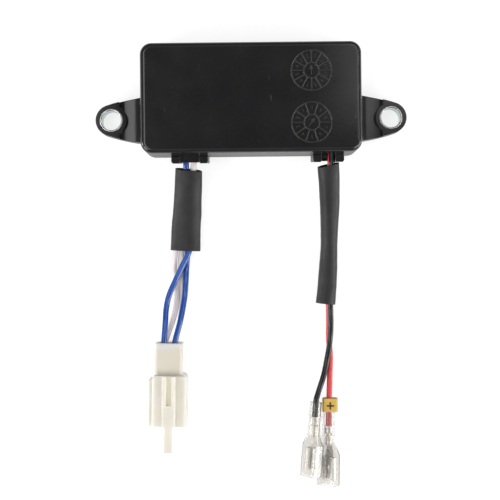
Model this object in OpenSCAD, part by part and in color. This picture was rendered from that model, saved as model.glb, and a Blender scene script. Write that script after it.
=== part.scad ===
// Automatic voltage regulator of a portable generator.
// A potted case with two mounting ears, four leads to a plug and two leads to booted spade terminals.
// The origin is midway between the mounting holes, on the mounting plane. The front face looks along +Z.

/* [Case] */
// Length of the case along the line of the mounting holes
case_length = 77; // [72:0.5:84]
// Width of the case across that line
case_width = 38.5; // [36:0.5:44]
// Height of the case from the mounting plane to its front face
case_height = 20; // [19.5:0.5:26]
// Thickness of the case walls
wall = 2.2; // [1.8:0.1:2.6]
// Radius of the case's upright corners
corner_radius = 4; // [3:0.25:6]
// Radius of the edge round the front face
front_radius = 1.7; // [1:0.1:2.5]
// Distance of the case's centre from the line of the mounting holes
case_offset = 6.25; // [4:0.05:8]
// Depth of the potting's surface inside the mounting plane
potting_recess = 0.8; // [0.3:0.1:1.5]

/* [Mounting ears] */
// Distance between the two mounting holes
hole_spacing = 100; // [97:0.5:112]
// Thickness of the ears
ear_thickness = 7; // [6:0.25:10]
// Width of an ear where it meets the case
ear_root_width = 16.4; // [14:0.2:20]
// Radius of an ear's curved sides
ear_side_radius = 70; // [40:1:150]
// Plastic round an eyelet
boss_wall = 1.5; // [1:0.05:2]
// Distance of the gussets from an ear's edges
gusset_inset = 1.6; // [1:0.1:2.2]
// Drop of an ear from the case wall to the foot of the eyelet's boss
ramp_drop = 1.75; // [1:0.05:3]
// Radius of the hollow ramp on top of an ear
ramp_radius = 17; // [10:0.5:30]
// Bore of an eyelet
eyelet_bore = 7; // [6:0.1:7.6]
// Wall of an eyelet
eyelet_wall = 0.55; // [0.35:0.05:0.8]

/* [Lead guides] */
// Reach of the lead guides' tops in front of the case wall
guide_reach = 3.4; // [2.9:0.1:3.5]
// Reach of the lead guides at the mounting plane
guide_foot = 2.2; // [2:0.1:2.8]
// Width of each guide post
post_width = 3.05; // [2.4:0.05:4]
// Distance of the post tops below the front face
guide_drop = 2.4; // [2:0.1:2.9]
// Radius of the posts' outer edges
post_radius = 0.8; // [0.4:0.1:1.1]
// Place of the left guide along the case
left_guide_x = -21.6; // [-24:0.1:-20]
// Gap between the posts of the left guide
left_guide_gap = 6.7; // [6.4:0.1:8]
// Place of the right guide along the case
right_guide_x = 26.85; // [26.5:0.05:27.5]
// Gap between the posts of the right guide
right_guide_gap = 4.7; // [4.6:0.1:6]

/* [Date dials] */
// Outer radius of the moulded date dials
dial_radius = 7.1; // [5:0.1:8]
// Radius of a dial's inner ring
dial_hub_radius = 2.8; // [2:0.1:4]
// Place of the dials along the case
dial_x = 21; // [15:0.5:26]
// Distance between the two dial centres
dial_pitch = 18; // [17:0.5:20]
// Height of the dials' lines above the front face
dial_relief = 0.15; // [0.1:0.05:0.4]

/* [Circuit board] */
// Thickness of the circuit board
board_thickness = 1.6; // [1:0.1:2]
// Height of the board's underside above the mounting plane
board_height = 4; // [3:0.1:4.5]
// Gap between the board's edge and the case walls
board_margin = 1.3; // [0.6:0.1:1.8]

/* [Leads] */
// Diameter of the leads over their insulation
lead_diameter = 2.1; // [1.8:0.05:2.1]
// Diameter of a lead's bare strands
strand_diameter = 1.3; // [0.8:0.1:1.4]
// Wall of the sleeves over the leads
sleeve_wall = 0.6; // [0.4:0.05:0.65]

/* [Plug] */
// Width of the plug's shroud without its side rib
shroud_width = 12.4; // [12:0.1:14]
// Height of the plug's shroud
shroud_height = 12.4; // [12:0.1:14]
// Length of the plug's shroud
shroud_length = 18; // [17:0.1:22]
// Wall of the shroud
shroud_wall = 1; // [0.8:0.1:1.2]
// Width of the plug's rear block
rear_width = 9.55; // [9:0.05:11]
// Height of the rear block
rear_height = 9.6; // [9.2:0.1:11]
// Length of the rear block
rear_length = 11.35; // [10.5:0.05:14]
// Distance between the plug's contacts along its width
contact_pitch = 3.8; // [3.7:0.05:4]
// Distance between the plug's rows of contacts
contact_row_pitch = 4; // [3.9:0.05:4.2]
// Width of the latch tongue
tongue_width = 3.07; // [2.4:0.05:4]
// Reach of the latch tongue past the shroud's mouth
tongue_reach = 9; // [5:0.5:12]

/* [Spade terminals] */
// Width of a spade terminal over its rolled edges
spade_width = 6; // [5.6:0.1:6.1]
// Thickness of a terminal's sheet metal
spade_sheet = 0.4; // [0.3:0.05:0.45]
// Radius of a terminal's rolled edges
roll_radius = 1.15; // [1:0.05:1.2]
// Width of a boot at its mouth
boot_width = 7.25; // [7.2:0.05:7.4]
// Thickness of a boot at its mouth
boot_depth = 4.7; // [4.5:0.05:4.8]
// Diameter of a boot's neck
boot_neck = 4.4; // [4.3:0.05:4.6]
// Wall of a boot
boot_wall = 0.45; // [0.3:0.05:0.5]
// Width of the marker ring
marker_width = 5.5; // [5.3:0.1:6]
// Thickness of the marker ring
marker_depth = 4.4; // [4.2:0.1:4.8]
// Length of the marker ring along its lead
marker_length = 4.8; // [3:0.1:4.8]
// Wall of the marker ring
marker_wall = 0.6; // [0.4:0.05:0.7]

/* [Hidden] */
$fn = 48;
// Overlap that joins pieces of one solid, and overshoot of cuts
eps = 0.4;

// Walls and cavity of the case
wall_y = case_offset - case_width / 2;
cavity_length = case_length - 2 * wall;
cavity_width = case_width - 2 * wall;
cavity_top = case_height - wall;
cavity_radius = corner_radius - wall;

// Ears: the side curve runs from the root at the case wall into the round end
boss_radius = eyelet_bore / 2 + eyelet_wall + boss_wall;
ear_end = [hole_spacing / 2, 0];
ear_root = [case_length / 2, ear_root_width / 2];
ear_start = case_length / 2 - wall;
ramp_overrun = 0.6;
gusset = [1.3, 0.8, 0.7];

// Lead guides: the left leads pass through its web, the right leads over its web
guide_top = case_height - guide_drop;
web_set_back = 0.35;
web_reach = guide_foot - web_set_back;
guide_lip = 1.2;
web_drop = 0.8;
left_web_top = guide_top - web_drop;
left_passage = [5.7, 10.9];
right_passage = [12.4, 17];
right_seal_top = 13.9;
groove = [0.45, 0.8];
groove_place = 0.8;

// Dials: the width of their lines and how many sectors each has
dial_line = 0.3;
dial_sectors = [12, 10];

// Circuit board and the leads of its components
board_top = board_height + board_thickness;
pin_below_board = 1;
bend = 1.2;
strand_reach = 2;

// Component sizes: body diameter, body length, lead spacing and lead diameter
DIODE = [2.7, 5.2, 10, 0.8];
RESISTOR = [2.4, 6.3, 10, 0.6];
ZENER = [1.9, 3.9, 7.5, 0.5];
POWER_RESISTOR = [5, 15, 21, 0.8];
FILTER = [10, 16, 5, 0.7];
TIMING = [5, 9, 2, 0.5];
// Height of the round components above the board
component_lift = 0.3;
resistor_lift = 0.5;
power_resistor_lift = 1.5;
// Diameter and length of a resistor's end caps
RESISTOR_CAP = [2.7, 1.2];
// Reach of the filter capacitor's leads before they go down
filter_lead_reach = 2.2;
// Box capacitor: its size, then lead spacing and lead diameter
FILM_BOX = [13, 5, 9];
FILM_LEADS = [10, 0.7];
// Power package: body, metal tab and its hole, then its leads
POWER_BODY = [8.7, 10, 4.4];
POWER_TAB = [6.5, 10, 1.3];
power_hole = 3.6;
power_lead = 0.8;
power_lead_pitch = 2.54;
power_lead_lift = 2.4;
power_lead_reach = 2.4;
// Small package: diameter and height, depth to its flat side, then its leads
SIGNAL = [4.6, 4.6];
signal_flat = 1.4;
signal_lift = 1;
signal_lead = 0.5;
signal_lead_pitch = 1.27;

// Component places on the board, from its centre; the box capacitor keeps clear of the leads' rows
film_row = 14.75;
DIODE_PLACES = [[-13, -6], [-9.4, -6], [-5.8, -6], [-2.2, -6]];
RESISTOR_PLACES = [[-33, 7], [-29.8, 7], [5, -7], [8.5, -7], [30.5, 3]];
ZENER_PLACES = [[12, -8], [15, -8]];
SIGNAL_PLACES = [[2.5, 0.6], [11.5, 0.6]];
POWER_RESISTOR_PLACE = [23, 12.5];
FILTER_PLACE = [3, 9];
TIMING_PLACE = [19.5, 0];
FILM_PLACE = [-23, film_row - case_width / 2];
TRANSISTOR_PLACE = [-20, 9.5];

// Where the leads end inside the case, and the routes that they follow outside it.
// Their Y counts from the wall that they pass through.
lead_sides = 8;
near_row = 6;
far_row = 9.4;
plug_end = -72.1;
BLUE_1 = [
  [-23.3, near_row, 7.2], [-23.3, -2.9, 7.2], [-23.5, -7, 6.2], [-24.4, -11.5, 6.5], [-24.2, -16, 6.6],
  [-23.3, -20.5, 6.2], [-22.5, -25, 4.9], [-22.4, -29.5, 4.4], [-22.6, -33.7, 4.3], [-25, -38.8, 4.2],
  [-27.8, -44.5, 4.2], [-30.1, -49.8, 4.7], [-31.1, -54.5, 5.6], [-31.4, -59.5, 7], [-31.91, -67.2, 8.2],
  [-32.03, plug_end, 8.2]
];
BLUE_2 = [
  [-23.3, far_row, 9.4], [-23.3, -2.9, 9.4], [-23.5, -7, 8.6], [-22.7, -11.5, 8.2], [-21.8, -16, 6.6],
  [-21.6, -20.5, 4.5], [-22.5, -25, 2.5], [-22.9, -29.5, 2.2], [-23.3, -33.7, 1.9], [-23.8, -38.8, 1.8],
  [-24.1, -44.5, 2.8], [-24.5, -49.8, 3.5], [-25.2, -54.5, 4.7], [-26.2, -59.5, 6.3], [-28.11, -67.2, 8.2],
  [-28.23, plug_end, 8.2]
];
WHITE_1 = [
  [-20.6, near_row, 7.2], [-20.6, -2.9, 7.2], [-21.1, -7, 6.2], [-22.7, -11.5, 4.8], [-24.2, -16, 4.2],
  [-25, -20.5, 4.5], [-24.9, -25, 4.9], [-26.6, -29.5, 3.8], [-27.7, -33.7, 2.8], [-28.3, -38.8, 2.1],
  [-27.8, -44.5, 1.4], [-27.4, -49.8, 1.3], [-27.9, -54.5, 1.7], [-29.2, -59.5, 2.6], [-31.91, -67.2, 4.2],
  [-32.03, plug_end, 4.2]
];
WHITE_2 = [
  [-20.6, far_row, 9.4], [-20.6, -2.9, 9.4], [-21.1, -7, 8.6], [-21, -11.5, 6.5], [-21.8, -16, 4.2],
  [-23.3, -20.5, 2.8], [-24.9, -25, 2.5], [-25, -29.5, 2.2], [-25.5, -33.7, 1.9], [-26, -38.8, 1.4],
  [-25.6, -44.5, 1.2], [-25.2, -49.8, 1.2], [-25.6, -54.5, 1.6], [-26.4, -59.5, 2.6], [-28.11, -67.2, 4.2],
  [-28.23, plug_end, 4.2]
];
RED = [
  [27.7, near_row, 13.5], [27.7, -2.9, 13.5], [27.5, -8, 12.6], [27, -13, 10.5], [27.1, -18, 8.1],
  [27.3, -24, 5.8], [27.4, -31.5, 3.8], [27.2, -38, 3], [27, -45, 2.5], [27.3, -53.3, 2.1],
  [27.4, -59.5, 1.6], [27.3, -66, 1.4], [27.7, -72.5, 1.7], [27.4, -79.5, 2.7], [27.1, -86.5, 3.7],
  [26.86, -92, 4], [26.73, -98.6, 4]
];
BLACK = [
  [28.1, far_row, 15.6], [28.1, -2.9, 15.6], [28, -8, 14.7], [27.9, -13, 12.5], [28, -18, 10.1],
  [27.9, -24, 7.9], [27.6, -31.5, 6], [27.4, -38, 5.2], [27.5, -45, 4.7], [27.8, -53.3, 4.2],
  [27.9, -59.5, 3.9], [27.6, -66, 3.8], [26.6, -72.5, 3.9], [25, -79.5, 4.5], [22.7, -86.2, 5.5],
  [22.15, -88.6, 5.6], [21.65, -95.1, 5.6]
];

// Sleeve routes, each point with the sleeve's width and height there
LEFT_SLEEVE = [
  [-22.4, -5, 7.7, 9.7, 7.4], [-22.5, -8, 7.2, 9.8, 7.4], [-22.7, -11.5, 6.5, 9.9, 7.4],
  [-23, -16, 5.4, 10.1, 7.2], [-23.3, -20.5, 4.5, 10.3, 7], [-23.7, -25, 3.8, 10.5, 6.6],
  [-23.9, -29.5, 3.4, 10.7, 6.3], [-24.1, -33.7, 3.2, 10.8, 6.1]
];
RIGHT_SLEEVE = [
  [26.9, -4.3, 14.4, 7.7, 6.2], [27.1, -8, 13.6, 7.6, 6.2], [27.4, -13, 11.5, 7.3, 6.3],
  [27.6, -18, 9.2, 7, 6.4], [27.6, -24, 6.9, 6.5, 6.8], [27.5, -31.5, 5, 6.1, 7.2],
  [27.3, -38, 4.2, 6.4, 7], [26.9, -45, 3.8, 6.8, 6.8], [26.5, -49.5, 3.6, 7, 6.7],
  [26.1, -53.3, 3.5, 7.2, 6.6]
];
left_sleeve_slant = 0.09;
right_sleeve_slant = -0.15;

// Plug: its rear face's place, its turn, and what lies along it
plug_place = [-29.6, -66.6, 0];
plug_turn = -1.33;
plug_mid = shroud_height / 2;
rear_shift = -0.4;
rear_edge_radius = 1;
shroud_edge_radius = 1.2;
shoulder_radius = 1.5;
side_rib = [1.1, 1.4];
latch_rib = [1.37, 1.6];
latch_gap = 1.9;
latch_channel_length = 10.4;
tongue_thickness = 1.3;
catch_depth = 0.8;
catch_length = 2.2;
cell = 3.3;
cell_depth = 13;
bulkhead_depth = 15;
plug_length = rear_length + shroud_length;
contact_clearance = 0.1;

// Plug contacts: crimps, shoulder and tab
contact_tab = [2.8, 0.8];
tab_recess = 5;
tab_tip = 1;
insulation_crimp = [3.1, 2.6];
conductor_crimp = [2.4, 3.4];
contact_shoulder = [3.1, 2, 1.6];
lead_in_plug = 5.6;
tab_lap = 1;

// Boots: place of the neck's end, turn in plan and roll about the lead
BLACK_BOOT = [[22.15, -88.6, 5.6], -4.4, -52];
RED_BOOT = [[26.86, -92.1, 4], -1.05, -35];
// Along a boot: distance from the neck's end, share of the way from neck to mouth, corner radius
BOOT_STATIONS = [[0, 0, 2.15], [10.2, 0, 2.15], [11.8, 0.12, 2], [13.4, 0.5, 1.4], [15, 0.9, 0.9],
  [16.2, 1, 0.7], [26.5, 1, 0.7]];
// Least radius of a boot's corners, and the flat that is left between full corners
least_corner = 0.3;
corner_slack = 0.02;
// Along a terminal, from the neck's end: crimps, taper and receptacle
terminal_start = 5.2;
lead_in_boot = 6.6;
conductor_start = 8.6;
taper_start = 12;
receptacle_start = 16.4;
receptacle_end = 24.4;
strip_width = 1.7;
tab_gap = 0.9;
dimple_diameter = 1.6;
crimp_wall = 0.5;
strand_overrun = 0.3;
marker_radius = 1.1;
marker_shift = 0.4;

// Shapes that repeat

// Rectangle about the origin with round corners
module rounded_rect(w, d, r) {
  square([w - 2 * r, d], center = true);
  square([w, d - 2 * r], center = true);
  for (sx = [-1, 1], sy = [-1, 1])
    translate([sx * (w / 2 - r), sy * (d / 2 - r)]) circle(r);
}

// Rectangle that stands on the X axis, with round upper corners
module arch(w, h, r) {
  translate([-w / 2, 0]) square([w, h - r]);
  translate([r - w / 2, 0]) square([w - 2 * r, h]);
  for (s = [-1, 1])
    translate([s * (w / 2 - r), h - r]) circle(r);
}

// Prism along -Y of a section drawn in X and Z
module along(length) {
  rotate([90, 0, 0]) linear_extrude(length) children();
}

// Frame of what lies outside the wall that the leads pass through
module at_wall() {
  translate([0, wall_y, 0]) children();
}

module both_sides() {
  children();
  mirror([1, 0, 0]) children();
}

// Ring of points of a rectangle with round corners
function corner_ring(w, d, r, steps = 5) = [
  for (corner = [0:3], step = [0:steps])
    let (
      angle = 90 * corner + 90 * step / steps,
      sx = corner == 0 || corner == 3 ? 1 : -1,
      sy = corner < 2 ? 1 : -1
    )
    [sx * (w / 2 - r) + r * cos(angle), sy * (d / 2 - r) + r * sin(angle)]
];

// Ring of points of a flattened tube
function oval_ring(w, h, sides = 20, fullness = 2.6) = [
  for (i = [0:sides - 1])
    let (c = cos(360 * i / sides), s = sin(360 * i / sides))
    [w / 2 * sign(c) * pow(abs(c), 2 / fullness), h / 2 * sign(s) * pow(abs(s), 2 / fullness)]
];

// Direction of a route at one of its points
function heading(route, i) =
  let (
    before = route[max(i - 1, 0)],
    after = route[min(i + 1, len(route) - 1)],
    step = [after.x - before.x, after.y - before.y, after.z - before.z]
  )
  step / norm(step);

function side_of(direction) =
  let (side = cross([0, 0, 1], direction)) side / norm(side);

// A flat ring set across a route at one of its points; slant leans it along the route
function ring_across(ring, route, i, slant = 0) =
  let (
    direction = heading(route, i),
    side = side_of(direction),
    up = cross(direction, side),
    centre = [route[i].x, route[i].y, route[i].z]
  )
  [for (p = ring) centre + p.x * side + p.y * up + slant * p.x * direction];

function flat(rings) = [for (ring = rings) each ring];

// Faces between neighbouring rings of n points, starting at point first
function wall_faces(count, n, first = 0, inward = false) = [
  for (i = [0:count - 2], j = [0:n - 1])
    let (
      a = first + i * n + j,
      b = first + i * n + (j + 1) % n,
      quad = [a, b, b + n, a + n]
    )
    each (inward ? [[quad[0], quad[1], quad[2]], [quad[0], quad[2], quad[3]]]
                 : [[quad[2], quad[1], quad[0]], [quad[3], quad[2], quad[0]]])
];

// Faces of the flat end between an outer and an inner ring
function rim_faces(outer, inner, n, flip) = [
  for (j = [0:n - 1])
    let (
      k = (j + 1) % n,
      one = [outer + j, outer + k, inner + k],
      two = [outer + j, inner + k, inner + j]
    )
    each (flip ? [[one[2], one[1], one[0]], [two[2], two[1], two[0]]] : [one, two])
];

// Solid through rings of points
module solid_through(rings) {
  n = len(rings[0]);
  last = n * (len(rings) - 1);
  polyhedron(
    flat(rings),
    concat(
      [[for (j = [0:n - 1]) j]],
      wall_faces(len(rings), n),
      [[for (j = [0:n - 1]) last + n - 1 - j]]
    )
  );
}

// Tube between outer and inner rings of points
module shell_between(outer, inner) {
  n = len(outer[0]);
  count = len(outer);
  polyhedron(
    concat(flat(outer), flat(inner)),
    concat(
      wall_faces(count, n),
      wall_faces(count, n, n * count, true),
      rim_faces(0, n * count, n, false),
      rim_faces(n * (count - 1), n * (2 * count - 1), n, true)
    )
  );
}

// One insulated lead along its route
module lead(route) {
  turn = 360 / lead_sides;
  ring = [for (i = [0:lead_sides - 1]) lead_diameter / 2 * [cos(turn * i), sin(turn * i)]];
  at_wall() solid_through([for (i = [0:len(route) - 1]) ring_across(ring, route, i)]);
}

// Straight stretch of a lead through the case wall, as a cut
module lead_bore(route) {
  at_wall()
    translate([route[0].x, route[0].y, route[0].z])
      rotate([90, 0, 0]) cylinder(d = lead_diameter, h = route[0].y - route[1].y);
}

// Rings of a sleeve's surface, inset from its outside
function sleeve_rings(route, slant, inset) = [
  for (i = [0:len(route) - 1])
    ring_across(
      oval_ring(route[i][3] - 2 * inset, route[i][4] - 2 * inset),
      route, i, i == 0 ? slant : 0
    )
];

module sleeve(route, slant) {
  at_wall() shell_between(sleeve_rings(route, slant, 0), sleeve_rings(route, slant, sleeve_wall));
}

// Case

// Outer block: two crossing arches, with a revolved post at each upright corner
module case_block() {
  translate([0, case_offset, 0]) {
    rotate([90, 0, 90])
      translate([0, 0, corner_radius - case_length / 2])
        linear_extrude(case_length - 2 * corner_radius) arch(case_width, case_height, front_radius);
    translate([0, case_width / 2 - corner_radius, 0])
      along(case_width - 2 * corner_radius) arch(case_length, case_height, front_radius);
    for (quarter = [0:3])
      mirror([quarter % 2, 0, 0]) mirror([0, floor(quarter / 2), 0])
        translate([case_length / 2 - corner_radius, case_width / 2 - corner_radius, 0])
          rotate_extrude(angle = 90) corner_profile();
  }
}

module corner_profile() {
  intersection() {
    arch(2 * corner_radius, case_height, front_radius);
    square([corner_radius, case_height]);
  }
}

module case_cavity(top = cavity_top, bottom = -eps) {
  translate([0, case_offset, bottom])
    linear_extrude(top - bottom) rounded_rect(cavity_length, cavity_width, cavity_radius);
}

// Centre of the ear's side curve, which touches the round end and passes through the root
function ear_side_centre() =
  let (
    span = ear_root - ear_end,
    reach = norm(span),
    along_span = span / reach,
    rest = ear_side_radius - boss_radius,
    foot = (rest * rest - ear_side_radius * ear_side_radius + reach * reach) / (2 * reach),
    rise = sqrt(rest * rest - foot * foot)
  )
  ear_end + foot * along_span + rise * [-along_span.y, along_span.x];

module ear_outline() {
  centre = ear_side_centre();
  away = (ear_end - centre) / norm(ear_end - centre);
  touch_x = ear_end.x + boss_radius * away.x;
  intersection() {
    translate(centre) circle(ear_side_radius, $fn = 180);
    translate([centre.x, -centre.y]) circle(ear_side_radius, $fn = 180);
    translate([ear_start, -ear_root_width]) square([touch_x - ear_start, 2 * ear_root_width]);
  }
  translate(ear_end) circle(boss_radius);
}

// Space over the hollow ramp that falls from the case wall to the foot of the eyelet's boss
module over_ramp() {
  high = [case_length / 2 - ramp_overrun, ear_thickness];
  low = [hole_spacing / 2 - boss_radius, ear_thickness - ramp_drop];
  span = low - high;
  rise = sqrt(ramp_radius * ramp_radius - span * span / 4);
  centre = (high + low) / 2 + rise * [-span.y, span.x] / norm(span);
  difference() {
    translate([centre.x, ear_root_width, centre.y])
      rotate([90, 0, 0]) cylinder(r = ramp_radius, h = 2 * ear_root_width);
    translate([ear_end.x, 0, 0]) cylinder(r = boss_radius, h = centre.y + ramp_radius);
    translate([ear_end.x - boss_radius / 2, -ear_root_width - eps, 0])
      cube([2 * ramp_radius, 2 * (ear_root_width + eps), centre.y + ramp_radius]);
  }
}

module ear() {
  difference() {
    linear_extrude(ear_thickness) ear_outline();
    over_ramp();
    translate([ear_end.x, 0, -eps]) cylinder(d = eyelet_bore + 2 * eyelet_wall, h = ear_thickness + 2 * eps);
  }
  for (s = [-1, 1])
    translate([case_length / 2 - eps, s * (ear_root_width / 2 - gusset_inset - gusset.y / 2) - gusset.y / 2,
        ear_thickness - ramp_drop])
      cube([gusset.x + eps, gusset.y, gusset.z + ramp_drop]);
}

// Space under the guides' fronts, which lean back below a lip at their tops
module under_lean(width) {
  lean = (guide_reach - guide_foot) / (guide_top - guide_lip);
  translate([-width / 2, -eps, 0])
    rotate([90, 0, 90])
      linear_extrude(width)
        polygon([
          [lean * eps - guide_foot, -eps], [-lean * guide_lip - guide_reach, guide_top],
          [-2 * guide_reach, guide_top], [-2 * guide_reach, -eps]
        ]);
}

// Two posts and the web between them, in front of the lower wall
module lead_guide(x, gap, web_top) {
  width = gap + 2 * post_width + 2 * eps;
  translate([x, wall_y + eps, 0]) {
    difference() {
      for (s = [-1, 1])
        translate([s * (gap + post_width) / 2, 0, 0])
          mirror([0, 1, 0]) linear_extrude(guide_top) arch(post_width, guide_reach + eps, post_radius);
      translate([-width / 2, -eps - groove_place - groove.x / 2, guide_top - groove.y])
        cube([width, groove.x, 2 * groove.y]);
      under_lean(width);
    }
    difference() {
      translate([-gap / 2 - eps, web_set_back - guide_reach - eps, 0])
        cube([gap + 2 * eps, guide_reach - web_set_back + eps, web_top]);
      translate([0, web_set_back, 0]) under_lean(width);
    }
  }
}

// Cut through the wall, from outside the guide's web to inside the cavity
module passage(x, gap, heights, reach) {
  translate([x - gap / 2, wall_y - reach, heights[0]])
    cube([gap, reach + wall + eps, heights[1] - heights[0]]);
}

// Raised lines of a date dial: two rings and the lines between its sectors
module dial(y, sectors) {
  translate([dial_x, y, case_height - eps]) {
    for (r = [dial_radius, dial_hub_radius])
      difference() {
        cylinder(r = r, h = eps + dial_relief);
        translate([0, 0, -eps]) cylinder(r = r - dial_line, h = 3 * eps + dial_relief);
      }
    for (i = [0:sectors - 1])
      rotate(360 * i / sectors)
        translate([dial_hub_radius - dial_line / 2, -dial_line / 2, 0])
          cube([dial_radius - dial_hub_radius, dial_line, eps + dial_relief]);
  }
}

module case() {
  color("#242426")
    difference() {
      union() {
        case_block();
        both_sides() ear();
        lead_guide(left_guide_x, left_guide_gap, left_web_top);
        lead_guide(right_guide_x, right_guide_gap, right_passage[0]);
        for (i = [0, 1])
          dial(case_offset + (i == 0 ? 1 : -1) * dial_pitch / 2, dial_sectors[i]);
      }
      case_cavity();
      passage(left_guide_x, left_guide_gap, left_passage, guide_reach);
      passage(right_guide_x, right_guide_gap, right_passage, 0);
    }
}

// Bush with its inner edges broken
module eyelet() {
  edge = eyelet_wall / 3;
  inner = eyelet_bore / 2;
  translate([ear_end.x, 0, 0])
    rotate_extrude()
      polygon([
        [inner + edge, 0], [inner + eyelet_wall, 0], [inner + eyelet_wall, ear_thickness],
        [inner + edge, ear_thickness], [inner, ear_thickness - edge], [inner, edge]
      ]);
}

module left_eyelet() {
  color("#d5d8d6") mirror([1, 0, 0]) eyelet();
}

module right_eyelet() {
  color("#d5d8d6") eyelet();
}

module left_lead_seal() {
  color("#1c1c1e")
    difference() {
      passage(left_guide_x, left_guide_gap, left_passage, web_reach);
      passage(left_guide_x, left_guide_gap + 2 * eps, left_passage + [-eps, eps], -wall);
      for (route = [BLUE_1, BLUE_2, WHITE_1, WHITE_2])
        lead_bore(route);
    }
}

module right_lead_seal() {
  color("#1c1c1e")
    difference() {
      union() {
        passage(right_guide_x, right_guide_gap, right_passage, 0);
        passage(right_guide_x, right_guide_gap, [right_passage[0], right_seal_top], web_reach);
      }
      passage(right_guide_x, right_guide_gap + 2 * eps, right_passage + [-eps, eps], -wall);
      for (route = [RED, BLACK])
        lead_bore(route);
    }
}

// Inside of the case

// Lead of a component: out along +X from reach_from, round a bend at reach, down through the board
module bent_pin(reach_from, reach, height, diameter) {
  translate([reach_from, 0, height])
    rotate([0, 90, 0]) cylinder(d = diameter, h = reach - bend - reach_from);
  translate([reach - bend, 0, height - bend])
    rotate([90, 0, 0]) rotate_extrude(angle = 90) translate([bend, 0]) circle(d = diameter);
  straight_pin(reach, 0, height - bend, diameter);
}

module straight_pin(x, y, top, diameter) {
  bottom = board_height - pin_below_board;
  translate([x, y, bottom]) cylinder(d = diameter, h = top - bottom);
}

// Round component that lies across the board, with a lead at each end
module axial(size, lift = component_lift) {
  height = board_top + lift + size[0] / 2;
  translate([0, 0, height])
    rotate([0, 90, 0]) cylinder(d = size[0], h = size[1], center = true);
  for (s = [0, 180])
    rotate(s) bent_pin(size[1] / 2, size[2] / 2, height, size[3]);
}

module on_board(place, turn = 0) {
  translate([place.x, case_offset + place.y, 0]) rotate(turn) children();
}

module rectifier_diode_shapes() {
  for (place = DIODE_PLACES)
    on_board(place, 90) axial(DIODE);
}

// Body with a thicker cap at each end
module resistor_shapes() {
  for (place = RESISTOR_PLACES)
    on_board(place, 90) {
      axial(RESISTOR, resistor_lift);
      for (s = [-1, 1])
        translate([s * (RESISTOR[1] - RESISTOR_CAP[1]) / 2, 0, board_top + resistor_lift + RESISTOR[0] / 2])
          rotate([0, 90, 0]) cylinder(d = RESISTOR_CAP[0], h = RESISTOR_CAP[1], center = true);
    }
}

module zener_diode_shapes() {
  for (place = ZENER_PLACES)
    on_board(place, 90) axial(ZENER);
}

module power_resistor_shape() {
  on_board(POWER_RESISTOR_PLACE) axial(POWER_RESISTOR, power_resistor_lift);
}

// Electrolytic can that lies on the board, with both leads at one end
module filter_capacitor_shape() {
  height = board_top + component_lift + FILTER[0] / 2;
  end = FILTER[1] / 2;
  on_board(FILTER_PLACE) {
    translate([-end, 0, height]) rotate([0, 90, 0]) cylinder(d = FILTER[0], h = FILTER[1]);
    for (s = [-1, 1])
      translate([0, s * FILTER[2] / 2, 0]) bent_pin(end, end + filter_lead_reach, height, FILTER[3]);
  }
}

module timing_capacitor_shape() {
  on_board(TIMING_PLACE) {
    translate([0, 0, board_top]) cylinder(d = TIMING[0], h = TIMING[1]);
    for (s = [-1, 1])
      straight_pin(s * TIMING[2] / 2, 0, board_top + eps, TIMING[3]);
  }
}

// Box capacitor with two pins
module film_capacitor_shape() {
  on_board(FILM_PLACE) {
    translate([-FILM_BOX.x / 2, -FILM_BOX.y / 2, board_top]) cube(FILM_BOX);
    for (s = [-1, 1])
      straight_pin(s * FILM_LEADS[0] / 2, 0, board_top + eps, FILM_LEADS[1]);
  }
}

// Flat power package: body, metal tab with its hole, and three leads
module power_transistor_shape() {
  half = POWER_BODY.x / 2;
  on_board(TRANSISTOR_PLACE, 180) {
    difference() {
      union() {
        translate([-half, -POWER_BODY.y / 2, board_top]) cube(POWER_BODY);
        translate([-half - POWER_TAB.x, -POWER_TAB.y / 2, board_top])
          cube([POWER_TAB.x + eps, POWER_TAB.y, POWER_TAB.z]);
      }
      translate([-half - POWER_TAB.x / 2, 0, board_top - eps])
        cylinder(d = power_hole, h = POWER_TAB.z + 2 * eps);
    }
    for (i = [-1:1])
      translate([0, i * power_lead_pitch, 0])
        bent_pin(half, half + power_lead_reach, board_top + power_lead_lift, power_lead);
  }
}

// Small package with one flat side
module signal_transistor_shapes() {
  for (place = SIGNAL_PLACES)
    on_board(place) {
      difference() {
        translate([0, 0, board_top + signal_lift]) cylinder(d = SIGNAL[0], h = SIGNAL[1]);
        translate([-SIGNAL[0] / 2 - eps, -SIGNAL[0] - signal_flat, board_top])
          cube([SIGNAL[0] + 2 * eps, SIGNAL[0], signal_lift + SIGNAL[1] + eps]);
      }
      for (i = [-1:1])
        straight_pin(i * signal_lead_pitch, 0, board_top + signal_lift + eps, signal_lead);
    }
}

// Strands of a lead, from its cut insulation down through the board
module soldered_end(route) {
  at_wall()
    translate([route[0].x, route[0].y, 0]) rotate(90)
      bent_pin(0, strand_reach, route[0].z, strand_diameter);
}

module soldered_ends() {
  for (route = [BLUE_1, BLUE_2, WHITE_1, WHITE_2, RED, BLACK])
    soldered_end(route);
}

module components() {
  rectifier_diode_shapes();
  resistor_shapes();
  zener_diode_shapes();
  power_resistor_shape();
  filter_capacitor_shape();
  timing_capacitor_shape();
  film_capacitor_shape();
  power_transistor_shape();
  signal_transistor_shapes();
  soldered_ends();
}

module board_plate() {
  translate([0, case_offset, board_height])
    linear_extrude(board_thickness)
      square([cavity_length - 2 * board_margin, cavity_width - 2 * board_margin], center = true);
}

module potting() {
  color("#161618")
    difference() {
      case_cavity(cavity_top, potting_recess);
      board_plate();
      components();
      for (route = [BLUE_1, BLUE_2, WHITE_1, WHITE_2, RED, BLACK])
        lead_bore(route);
    }
}

module circuit_board() {
  color("#2f6b3a")
    difference() {
      board_plate();
      components();
    }
}

module rectifier_diodes() {
  color("#1a1a1a") rectifier_diode_shapes();
}

module power_transistor() {
  color("#303030") power_transistor_shape();
}

module filter_capacitor() {
  color("#22335a") filter_capacitor_shape();
}

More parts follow.
